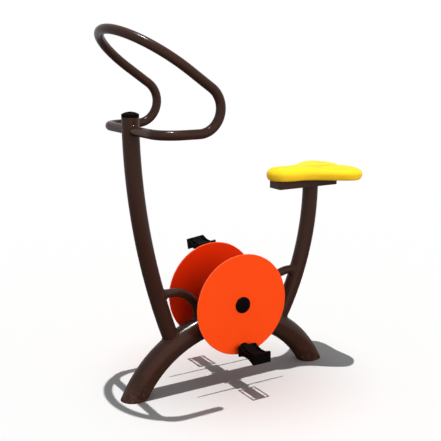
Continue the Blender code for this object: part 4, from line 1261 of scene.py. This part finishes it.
@dataclass
class Crank:
    """What turns: the two discs with their sleeves, caps, pedal bosses and nuts."""

    finishes: Finishes
    radius: float = 0.200
    thickness: float = 0.005
    face_out: float = 0.1168
    edge: float = 0.0022
    hole: float = 0.0198
    sleeve_radius: float = 0.030
    sleeve_in: float = 0.0595
    sleeve_chamfer: float = 0.003
    sleeve_round: float = 0.0006
    nose_radius: float = 0.0168
    nose_in: float = 0.0543
    bore: float = 0.0125
    cap_radius: float = 0.0318
    cap_rim: float = 0.0045
    cap_height: float = 0.0115
    cap_edge: float = 0.0008
    cap_power: float = 0.8  # of the cosine that draws the dome in: 1 is an ellipse
    cap_rows: int = 16
    boss_radius: float = 0.021
    boss_out: float = 0.137
    boss_step: float = 0.35  # share of its length that has its full radius
    boss_slope: float = 1.25  # where the waist starts, in steps
    boss_waist: float = 0.86  # share of its radius
    boss_rounds: Triple = (0.0012, 0.0010, 0.0014)
    spindle: float = 0.0083
    nut_radius: float = 0.013
    nut_taper: float = 0.0025
    nut_depth: float = 0.0036
    gap: float = 0.0003

    def build(self) -> None:
        """Builds both sides."""
        for side in Side:
            self.add_disc(side)
            self.add_sleeve(side)
            self.add_hub_cap(side)
            self.add_boss(side)
            self.add_boss_nut(side)

    def spin(
        self, side: Side, name: str, node: str, slot: str, outline: Array, about: Array = AXLE,
        places: int = 96, wrap: bool = True,
    ) -> None:  # fmt: skip
        """Turns an outline about the axle, or about another centre, and dresses the piece.

        Args:
            side: The side that it is on, whose name comes before the other two.
            name: The piece's name.
            node: The node that it stands for.
            slot: The slot of its finish.
            outline: A radius and a distance along the axis for each row.
            about: The point of the axis at distance 0.
            places: How many points round the axis.
            wrap: Whether the outline's last row joins the first.
        """
        grid = turned(outline, about, side.value * Y, places)
        name, node = f"{side.label}_{name}", f"{side.label}_{node}"
        self.finishes.lay(name, grid, slot, Body.CRANK, node, wrap=wrap)

    def add_disc(self, side: Side) -> None:
        """The plate: flat faces, a rounded rim and a plain hole.

        Args:
            side: The side that it is on.
        """
        low = self.face_out - self.thickness
        corners = [
            (self.hole, low, 0.0),
            (self.radius, low, self.edge),
            (self.radius, self.face_out, self.edge),
            (self.hole, self.face_out, 0.0),
        ]
        self.spin(side, "crank_disc", "disc", "orange_paint", rounded(corners, True, 6), places=288)

    def add_sleeve(self, side: Side) -> None:
        """The steel sleeve between the bearing and the disc.

        Args:
            side: The side that it is on.
        """
        low = self.face_out - self.thickness - self.gap
        corners = [
            (self.bore, self.nose_in, 0.0),
            (self.nose_radius, self.nose_in, 0.0),
            (self.nose_radius, self.sleeve_in, 0.0),
            (self.sleeve_radius - self.sleeve_chamfer, self.sleeve_in, self.sleeve_round),
            (self.sleeve_radius, self.sleeve_in + self.sleeve_chamfer, self.sleeve_round),
            (self.sleeve_radius, low, 0.0),
            (self.hole - self.gap, low, 0.0),
            (self.hole - self.gap, self.face_out, 0.0),
            (self.bore, self.face_out, 0.0),
        ]
        self.spin(side, "disc_sleeve", "disc_hub", "steel", rounded(corners, True, 3))

    def add_hub_cap(self, side: Side) -> None:
        """The black cap: a rounded rim that rises into a low dome.

        Args:
            side: The side that it is on.
        """
        low = self.face_out + self.gap
        turns = np.linspace(0.0, math.pi / 2, self.cap_rows)
        dome = np.column_stack([
            self.cap_radius * np.cos(turns) ** self.cap_power,
            low + self.cap_rim + (self.cap_height - self.cap_rim) * np.sin(turns),
        ])
        outline = np.vstack([
            (0.0, low),
            (self.cap_radius - self.cap_edge, low),
            (self.cap_radius, low + self.cap_edge),
            dome[:-1],
            (0.0, low + self.cap_height),
        ])
        self.spin(side, "hub_cap_dome", "hub_cap", "black_plastic", outline, wrap=False)

    def pedal_centre(self, side: Side) -> Array:
        """Where the pedal's spindle crosses the middle plane."""
        return joint_place(f"{side.label}_pedal_spin")

    def add_boss(self, side: Side) -> None:
        """The black boss between the disc and the pedal, stepped and rounded.

        Args:
            side: The side that it is on.
        """
        low = self.face_out + self.gap
        step = (self.boss_out - low) * self.boss_step
        waist = self.boss_radius * self.boss_waist
        corners = [
            (self.spindle, low, 0.0),
            (self.boss_radius, low, 0.0),
            (self.boss_radius, low + step, self.boss_rounds[0]),
            (waist, low + step * self.boss_slope, self.boss_rounds[1]),
            (waist, self.boss_out, self.boss_rounds[2]),
            (self.spindle, self.boss_out, 0.0),
        ]
        outline, about = rounded(corners, True, 4), self.pedal_centre(side)
        self.spin(side, "pedal_boss_turned", "pedal_boss", "black_plastic", outline, about, places=72)

    def add_boss_nut(self, side: Side) -> None:
        """The blind conical nut sunk in the disc's inner face, its own face barely proud.

        Args:
            side: The side that it is on.
        """
        low = self.face_out - self.thickness
        corners = [
            (0.0, low - self.gap, 0.0),
            (self.nut_radius, low - self.gap, self.gap),
            (self.nut_radius, low, 0.0),
            (self.nut_radius - self.nut_taper, low + self.nut_depth, 0.0),
            (0.0, low + self.nut_depth, 0.0),
        ]
        outline, about = rounded(corners, False, 3), self.pedal_centre(side)
        self.spin(side, "boss_nut_face", "boss_nut", "orange_paint", outline, about, places=72, wrap=False)


@dataclass
class Saddle:
    """The moulded saddle, the folded tray below it and the four bolts that join them."""

    finishes: Finishes
    nose: float = 0.195  # from the axle
    length: float = 0.382
    half_width: float = 0.1745
    thickness: float = 0.0482
    edge_top: float = 0.0344
    edge_base: float = 0.0115
    equator: float = 0.0223
    valley_depth: float = 0.0058
    valley_half_width: float = 0.0252
    crease_depth: float = 0.0035
    crease_half_width: float = 0.010
    crease_power: float = 1.5
    rear_fall: float = 0.0045
    side_fall: float = 0.0046
    nose_rise: float = 0.0020
    centre_share: float = 0.60
    valley_shares: Span = (0.40, 0.68)
    fall_shares: Span = (0.77, 1.0)
    rise_shares: Span = (0.0, 0.5)
    outline_shares: tuple[Span, ...] = (
        (0.0, 0.0), (0.022, 0.173), (0.085, 0.321), (0.200, 0.395), (0.330, 0.404), (0.450, 0.519),
        (0.590, 0.750), (0.715, 0.934), (0.820, 0.989), (0.920, 0.868), (0.988, 0.639), (0.997, 0.320),
        (0.988, 0.0),
    )  # fmt: skip
    outline_steps: int = 16
    lower_rings: int = 9
    upper_rings: int = 15
    crown_rings: int = 26
    tray_wall: float = 0.003
    tray_fold: float = 0.004
    tray_fold_steps: int = 6
    tray_edge: float = 0.0004
    tray_least_fold: float = 0.0005
    tray_least_corner: float = 0.0006
    tray_places: int = 240
    bolt_flats: float = 0.013
    bolt_head: float = 0.0055
    bolt_face: float = 0.92  # share of the flats' half width that is quite flat below
    bolt_dome: Span = (0.0003, 0.0014)  # how far up the dome meets the flats, and the corners
    bolt_round: float = 0.0004
    bolt_flange_radius: float = 0.009
    bolt_flange: float = 0.0015
    bolt_flange_rise: Span = (0.0003, 0.0007)  # at the start and the end of its rounded edge
    bolt_shank: float = 0.004

    def __post_init__(self) -> None:
        """Reads the saddle's place from its node."""
        self.nose_x = AXLE[0] + self.nose
        self.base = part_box("seat")[0].z

    def outline(self) -> Array:
        """The plan outline: a closed Catmull-Rom curve through the shares and their mirror.

        Returns:
            The outline's points in plan, one a row.
        """
        half = np.array(self.outline_shares)
        mirror = half[-2:0:-1] * (1, -1)
        points = np.concatenate([half, mirror]) * (self.length, self.half_width) + (self.nose_x, 0.0)
        before, after, beyond = (np.roll(points, shift, axis=0) for shift in (1, -1, -2))
        t = np.linspace(0.0, 1.0, self.outline_steps, endpoint=False)[:, None, None]
        bend = 2 * before - 5 * points + 4 * after - beyond
        twist = 3 * points - before - 3 * after + beyond
        curve = points + (after - before) * t / 2 + bend * t**2 / 2 + twist * t**3 / 2
        return curve.transpose(1, 0, 2).reshape(-1, 2)

    def top(self, plan: Array) -> Array:
        """The height of the upper skin over plan points.

        It is the thickness, less a valley whose depth falls off as a bell curve from the middle line, less
        a narrower crease in it, less the fall towards the rear, less a side fall that grows with the
        square of the distance from the middle line, plus a rise towards the nose.

        Args:
            plan: The points in plan, one a row.

        Returns:
            A height for each point.
        """
        along = (plan[..., 0] - self.nose_x) / self.length
        sides = plan[..., 1]
        valley = self.valley_depth * np.exp(-((sides / self.valley_half_width) ** 2))
        valley += self.crease_depth * np.exp(-np.abs(sides / self.crease_half_width) ** self.crease_power)
        valley *= smooth_step(*self.valley_shares, along)
        fall = self.rear_fall * smooth_step(*self.fall_shares, along)
        fall += self.side_fall * (sides / self.half_width) ** 2
        rise = self.nose_rise * (1 - smooth_step(*self.rise_shares, along))
        return self.base + self.thickness - valley - fall + rise

    def build(self) -> None:
        """Builds the saddle, the tray and the bolts."""
        lay = self.finishes.lay
        lay("saddle_moulding", self.moulding(), "yellow_plastic", Body.FRAME, "seat", wrap=False)
        lay("saddle_tray", self.tray(), "brown_paint", Body.FRAME, "seat_bracket", wrap=False)
        for side in Side:
            for end in ("front", "rear"):
                self.add_bolt(f"{side.label}_{end}_seat_bolt")

    def moulding(self) -> Array:
        """The saddle's grid: rings drawn in from the outline.

        A base ring lies in by the base round. The rings up to the equator follow a quarter ellipse, those
        above it another that ends on the upper skin, and the last ones close in on the crown.

        Returns:
            The grid of points.
        """
        outline = self.outline()
        steps = np.roll(outline, -1, axis=0) - np.roll(outline, 1, axis=0)
        inward = unit(np.stack([-steps[:, 1], steps[:, 0]], axis=1))
        centre = np.array((self.nose_x + self.length * self.centre_share, 0.0))
        if ((centre - outline) * inward).sum() < 0:
            inward = -inward
        level = self.base + self.equator
        rings = []
        for turn in np.linspace(math.pi / 2, 0.0, self.lower_rings)[:-1]:
            plan = outline + inward * self.edge_base * (1 - math.cos(turn))
            rings.append(np.column_stack([plan, np.full(len(plan), level - self.equator * math.sin(turn))]))
        for turn in np.linspace(0.0, math.pi / 2, self.upper_rings):
            plan = outline + inward * self.edge_top * (1 - math.cos(turn))
            rings.append(np.column_stack([plan, level + (self.top(plan) - level) * math.sin(turn)]))
        shoulder = rings[-1][:, :2]
        for share in np.linspace(1.0, 0.0, self.crown_rings)[1:]:
            plan = centre + (shoulder - centre) * share
            rings.append(np.column_stack([plan, self.top(plan)]))
        under = np.column_stack([np.broadcast_to(centre, outline.shape), np.full(len(outline), self.base)])
        return np.stack([under, *rings])

    def tray(self) -> Array:
        """The tray's grid: rounded rectangles over the top, down the outside, and up the inside again.

        Returns:
            The grid of points.
        """
        low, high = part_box("seat_bracket")
        half = np.array((high.x - low.x, high.y - low.y)) / 2
        middle = np.array((low.x + high.x, low.y + high.y)) / 2
        turns = np.linspace(0.0, math.pi / 2, self.tray_fold_steps)
        fold, wall, edge, ceiling = self.tray_fold, self.tray_wall, self.tray_edge, high.z - self.tray_wall
        inner = max(fold - wall, self.tray_least_fold)
        outside = [(fold * (1 - math.sin(t)), high.z - fold * (1 - math.cos(t))) for t in turns]
        foot = [(0.0, low.z + edge), (edge, low.z), (wall - edge, low.z), (wall, low.z + edge)]
        inside = [
            (wall + inner * (1 - math.sin(t)), ceiling - inner * (1 - math.cos(t))) for t in turns[::-1]
        ]
        rings = []
        for inset, height in [(half[1], high.z), *outside, *foot, *inside, (half[1], ceiling)]:
            corner = max(fold - inset, self.tray_least_corner)
            plan = rounded_rectangle(half - inset, corner, self.tray_places) + middle
            rings.append(np.column_stack([plan, np.full(len(plan), height)]))
        for ring in (rings[0], rings[-1]):
            ring[:, :2] = middle
        return np.stack(rings)

    def add_bolt(self, node: str) -> None:
        """One flanged bolt: a domed hexagonal head, a round flange and a shank.

        Args:
            node: The node that it stands for.
        """
        low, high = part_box(node)
        centre = np.array(((low.x + high.x) / 2, (low.y + high.y) / 2, low.z))
        corner, face = self.bolt_flats / math.sqrt(3), self.bolt_flats / 2
        head, rim, length = self.bolt_head, self.bolt_flange_radius, high.z - low.z
        outline = np.array([
            (0.0, 0.0),
            (face * self.bolt_face, 0.0),
            (face, self.bolt_dome[0]),
            (corner, self.bolt_dome[1]),
            (corner, head - self.bolt_round),
            (corner, head),
            (rim - self.bolt_round, head + self.bolt_flange_rise[0]),
            (rim, head + self.bolt_flange_rise[1]),
            (rim, head + self.bolt_flange),
            (self.bolt_shank, head + self.bolt_flange),
            (self.bolt_shank, length),
            (0.0, length),
        ])
        hexagon = (outline[:, 0] == corner).astype(float)
        grid = turned(outline, centre, Z, places=72, hexagon=hexagon)
        self.finishes.lay(f"{node}_flanged", grid, "steel", Body.FRAME, node, wrap=False)


@dataclass
class Pedal:
    """One bow-tie pedal: two deep treads joined by a waisted core and thin rails."""

    finishes: Finishes
    side: Side
    inner: float = 0.1385
    length: float = 0.109
    width: float = 0.077
    end_height: float = 0.042
    waist_height: float = 0.0185
    land: float = 0.010
    power: float = 2.4
    core: float = 0.042
    rail: float = 0.0065
    end_plate: float = 0.008
    rib: float = 0.004
    end_hole: float = 0.013
    round: float = 0.0014
    round_segments: int = 2
    round_angle: float = math.radians(40)
    marks_along: int = 62
    marks_across: int = 5
    plug_places: int = 64
    plug: tuple[Span, ...] = (
        (0.0, -0.003), (0.0102, -0.003), (0.0102, -0.0002), (0.0098, 0.0003), (0.006, 0.0008), (0.0, 0.001),
    )  # fmt: skip
    tilt: float = 0.0  # about the spindle, in degrees

    def height(self, along: Array) -> Array:
        """Half the height along the pedal: a waist that rises as a power to the ends.

        Args:
            along: Distances from the pedal's middle.

        Returns:
            Half the height at each.
        """
        reach = self.length / 2 - self.land
        share = np.minimum(np.abs(along) / reach, 1.0)
        waist, end = self.waist_height / 2, self.end_height / 2
        return waist + (end - waist) * share**self.power

    def build(self) -> None:
        """Builds the moulding and the cap on its outer end."""
        label = self.side.label
        body = Body(f"{label}_pedal")
        piece = self.moulding(f"{label}_pedal_moulding")
        self.finishes.dress(piece, "black_plastic", body, f"{label}_pedal_body")
        bevel = piece.modifiers.new("rounded edges", "BEVEL")
        bevel.width = self.round
        bevel.segments = self.round_segments
        bevel.limit_method = "ANGLE"
        bevel.angle_limit = self.round_angle
        outline = np.array(self.plug) + (0.0, self.inner + self.length)
        centre = joint_place(f"{label}_pedal_spin")
        grid = turned(outline, centre, self.side.value * Y, self.plug_places)
        name, node = f"{label}_pedal_plug", f"{label}_pedal_end_cap"
        self.finishes.lay(name, grid, "black_plastic", body, node, wrap=False)

    def plan(self) -> tuple[Array, Array, Array]:
        """The moulding's plan: marks across and along it, and which of the cells between them are solid.

        Returns:
            The marks across, the marks along from the pedal's middle, and a table that is True where a
            cell is solid.
        """
        half, core, rail = self.length / 2, self.core / 2, self.width / 2 - self.rail
        hole_end = half - self.end_plate
        hole_start = hole_end - self.end_hole
        slot_end = hole_start - self.rib
        edges_y = [edge * sign for edge in (half, hole_end, hole_start, slot_end) for sign in (-1, 1)]
        edges_x = [edge * sign for edge in (self.width / 2, rail, core) for sign in (-1, 1)]
        ys = np.unique(np.concatenate([edges_y, np.linspace(-half, half, self.marks_along)]).round(5))
        xs = np.unique(np.concatenate([edges_x, np.linspace(-core, core, self.marks_across)]).round(5))
        across, along = np.abs(xs[1:] + xs[:-1]) / 2, np.abs(ys[1:] + ys[:-1]) / 2
        beside = (across > core) & (across < rail)
        hollow = (along < slot_end) | ((along > hole_start) & (along < hole_end))
        return xs, ys, ~(beside[:, None] & hollow[None, :])

    def moulding(self, name: str) -> bpy.types.Object:
        """The moulding: two skins over the plan's solid cells, and walls round each opening.

        A point's height is plus or minus the height at its distance along the pedal. The plan is then
        turned about the spindle by the tilt.

        Args:
            name: The object's name.

        Returns:
            The object.
        """
        xs, ys, solid = self.plan()
        grid_x, grid_y = np.meshgrid(xs, ys, indexing="ij")
        out, height = self.side.value * (self.inner + self.length / 2 + grid_y), self.height(grid_y)
        level = np.stack([np.stack([grid_x, out, sign * height], axis=-1) for sign in (1, -1)])
        x, y, z = level.reshape(-1, 3).T
        turn = math.radians(self.tilt)
        turned_x = x * math.cos(turn) + z * math.sin(turn)
        turned_z = z * math.cos(turn) - x * math.sin(turn)
        centre = joint_place(f"{self.side.label}_pedal_spin")
        points = np.column_stack([turned_x, y, turned_z]) + centre
        ids = np.arange(2 * grid_x.size).reshape(2, *grid_x.shape)
        corners = [ids[:, :-1, :-1], ids[:, 1:, :-1], ids[:, 1:, 1:], ids[:, :-1, 1:]]
        upper = np.stack([corner[0][solid] for corner in corners], axis=-1)
        lower = np.stack([corner[1][solid] for corner in corners[::-1]], axis=-1)
        padded = np.pad(solid, 1)
        walls = []
        for axis in (0, 1):
            edge = np.diff(padded.astype(int), axis=axis)
            edge = edge[:, 1:-1] if axis == 0 else edge[1:-1, :]
            for sign in (1, -1):
                i, j = np.nonzero(edge == sign)
                next_i, next_j = (i, j + 1) if axis == 0 else (i + 1, j)
                wall = [ids[0, i, j], ids[0, next_i, next_j], ids[1, next_i, next_j], ids[1, i, j]]
                flip = (sign == 1) == (axis == 0)
                walls.append(np.stack(wall[::-1] if flip else wall, axis=-1))
        return mesh_object(name, points, [upper, lower, *walls])


@dataclass(frozen=True)
class Lamp:
    """A lamp that shines one way over the whole scene."""

    name: str
    strength: float  # on a square metre that faces it
    width: float  # how wide it looks, in degrees: small is crisp, large is soft
    lean: float  # how far it leans from shining straight down, in degrees
    azimuth: float  # where it shines from, in degrees: 0 is the left
    lights_matt: bool = True
    lights_gloss: bool = True
    lights_floor: bool = True

    def build(self, spared: bpy.types.Collection) -> None:
        """Makes the lamp.

        Args:
            spared: The group that holds the floor, for a lamp that leaves it out.
        """
        light = bpy.data.lights.new(self.name, "SUN")
        light.energy = self.strength
        light.angle = math.radians(self.width)
        obj = bpy.data.objects.new(self.name, light)
        obj.rotation_euler = (math.radians(self.lean), 0.0, math.radians(self.azimuth))
        obj.visible_diffuse = self.lights_matt
        obj.visible_glossy = self.lights_gloss
        if not self.lights_floor:
            obj.light_linking.receiver_collection = spared
        bpy.context.scene.collection.objects.link(obj)


@dataclass
class Stage:
    """The pale floor, the lamps, the white surroundings and the camera."""

    azimuth: float = math.radians(-30.75)
    elevation: float = math.radians(12.13)
    distance: float = 3.097
    aim: Triple = (-0.0295, 0.0008, 0.6530)
    lens: float = 65.11
    floor_radius: float = 24.0
    floor_middle: float = 0.05  # the radius of its innermost ring
    floor_cells: Cells = (24, 96)
    floor_colour: Colour = (0.965, 0.953, 0.943)
    # painted shade: the floor's colour near the bike, darker than further out
    floor_near: Colour = (0.76, 0.70, 0.685)
    floor_reach: Span = (0.05, 0.68)  # where the near tone starts to fade, and ends
    floor_fade: Span = (1.2, 4.5)  # where the floor starts to turn white, and is white
    floor_bounce: Colour = (0.25, 0.245, 0.24)  # what it throws back at the bike
    surround: float = 0.24
    surround_colour: Colour = (0.95, 1.0, 1.03)
    lamps: tuple[Lamp, ...] = (
        Lamp("overhead_lamp", 2.52, 0.5, 0.37, 38.0),
        Lamp("gleam_lamp", 3.2, 14.0, 4.5, -75.0, lights_matt=False),
        Lamp("front_lamp", 2.93, 60.0, 75.0, 8.0, lights_gloss=False, lights_floor=False),
        Lamp("left_lamp", 0.95, 90.0, 72.0, -95.0, lights_gloss=False, lights_floor=False),
        Lamp("back_lamp", 1.60, 60.0, 78.0, 188.0, lights_gloss=False, lights_floor=False),
    )

    def build(self) -> None:
        """Builds them all."""
        spared = self.group_spared(self.add_floor())
        self.light_surroundings()
        for lamp in self.lamps:
            lamp.build(spared)
        self.add_camera()

    def group_spared(self, floor: bpy.types.Object) -> bpy.types.Collection:
        """A group that holds the floor, for the lamps that light the bike alone and leave the floor out.

        Args:
            floor: The floor.

        Returns:
            The group.
        """
        spared = bpy.data.collections.new("spared_by_side_lamps")
        spared.objects.link(floor)
        spared.collection_objects[0].light_linking.link_state = "EXCLUDE"
        return spared

    def add_floor(self) -> bpy.types.Object:
        """The floor: rings of growing radius round the bike, as a flat sheet.

        Returns:
            The floor.
        """
        rings, places = self.floor_cells
        turns = round_turns(places)
        radii = np.geomspace(self.floor_middle, self.floor_radius, rings)
        points = radii[:, None, None] * np.column_stack([np.cos(turns), np.sin(turns), np.zeros(places)])
        ids = np.arange(rings * places).reshape(rings, places)
        beside = np.roll(ids, -1, axis=1)
        quads = np.stack([ids[:-1], ids[1:], beside[1:], beside[:-1]], axis=-1).reshape(-1, 4)
        mesh = bpy.data.meshes.new("floor")
        mesh.from_pydata(points.reshape(-1, 3).tolist(), [], quads.tolist() + [ids[0].tolist()])
        mesh.materials.append(self.floor_material())
        floor = bpy.data.objects.new("floor", mesh)
        bpy.context.scene.collection.objects.link(floor)
        return floor

    def floor_material(self) -> bpy.types.Material:
        """The floor's material.

        To the camera it has painted shade near the bike, and turns white far off. What it throws back at
        the bike is the same all over.

        Returns:
            The material.
        """
        material = bpy.data.materials.new("pale_floor")
        material.use_nodes = True
        graph = Graph(material.node_tree)
        away = graph.length(graph.place())
        camera = graph.ray("Camera")
        # painted shade near the bike, fading to the floor's colour
        shaded_floor_tone = graph.mix(away.between(*self.floor_reach), self.floor_near, self.floor_colour)
        colour = graph.mix(camera, self.floor_bounce, shaded_floor_tone)
        paint = graph.node("ShaderNodeBsdfDiffuse", {}, {"Color": colour})
        white = graph.node("ShaderNodeEmission", {}, {"Color": WHITE, "Strength": 1.0})
        faded = away.between(*self.floor_fade) * (camera + graph.ray("Glossy"))
        shader = graph.node("ShaderNodeMixShader", {}, {0: faded, 1: paint, 2: white})
        graph.output("ShaderNodeOutputMaterial", shader)
        return material

    def light_surroundings(self) -> None:
        """A world that is white to the camera and in reflections, and gives a weak even light."""
        world = bpy.data.worlds.new("white_surroundings")
        world.use_nodes = True
        bpy.context.scene.world = world
        graph = Graph(world.node_tree)
        shown = graph.ray("Camera") + graph.ray("Glossy") + graph.ray("Transmission")
        strength = self.surround + shown * (1.0 - self.surround)
        colour = graph.mix(shown, self.surround_colour, WHITE)
        shader = graph.node("ShaderNodeBackground", {}, {"Color": colour, "Strength": strength})
        graph.output("ShaderNodeOutputWorld", shader)

    def add_camera(self) -> None:
        """The camera, at its distance and angles from the point that it looks at."""
        camera = bpy.data.cameras.new("camera")
        camera.lens = self.lens
        obj = bpy.data.objects.new("camera", camera)
        level = math.cos(self.elevation)
        back = np.array((
            math.sin(self.azimuth) * level, -math.cos(self.azimuth) * level, math.sin(self.elevation)
        ))
        obj.location = np.array(self.aim) + AXLE * X + self.distance * back
        obj.rotation_euler = (math.pi / 2 - self.elevation, 0.0, self.azimuth)
        bpy.context.scene.collection.objects.link(obj)
        bpy.context.scene.camera = obj
        bpy.context.scene.view_settings.view_transform = "Standard"


def main() -> None:
    """Builds each assembly in turn, gives the carried nodes their finishes, then builds the stage."""
    logging.basicConfig(level=logging.INFO, format="%(message)s")
    finishes = Finishes()
    welded = WeldedFrame(finishes)
    assemblies = (
        welded,
        Handlebar(finishes, welded),
        PostCap(finishes, welded),
        Hub(finishes, welded),
        Crank(finishes),
        Saddle(finishes),
        Pedal(finishes, Side.LEFT),
        Pedal(finishes, Side.RIGHT, tilt=-7.0),
    )
    for assembly in assemblies:
        assembly.build()
    finishes.dress_carried()
    Stage().build()


if __name__ == "__main__":
    main()
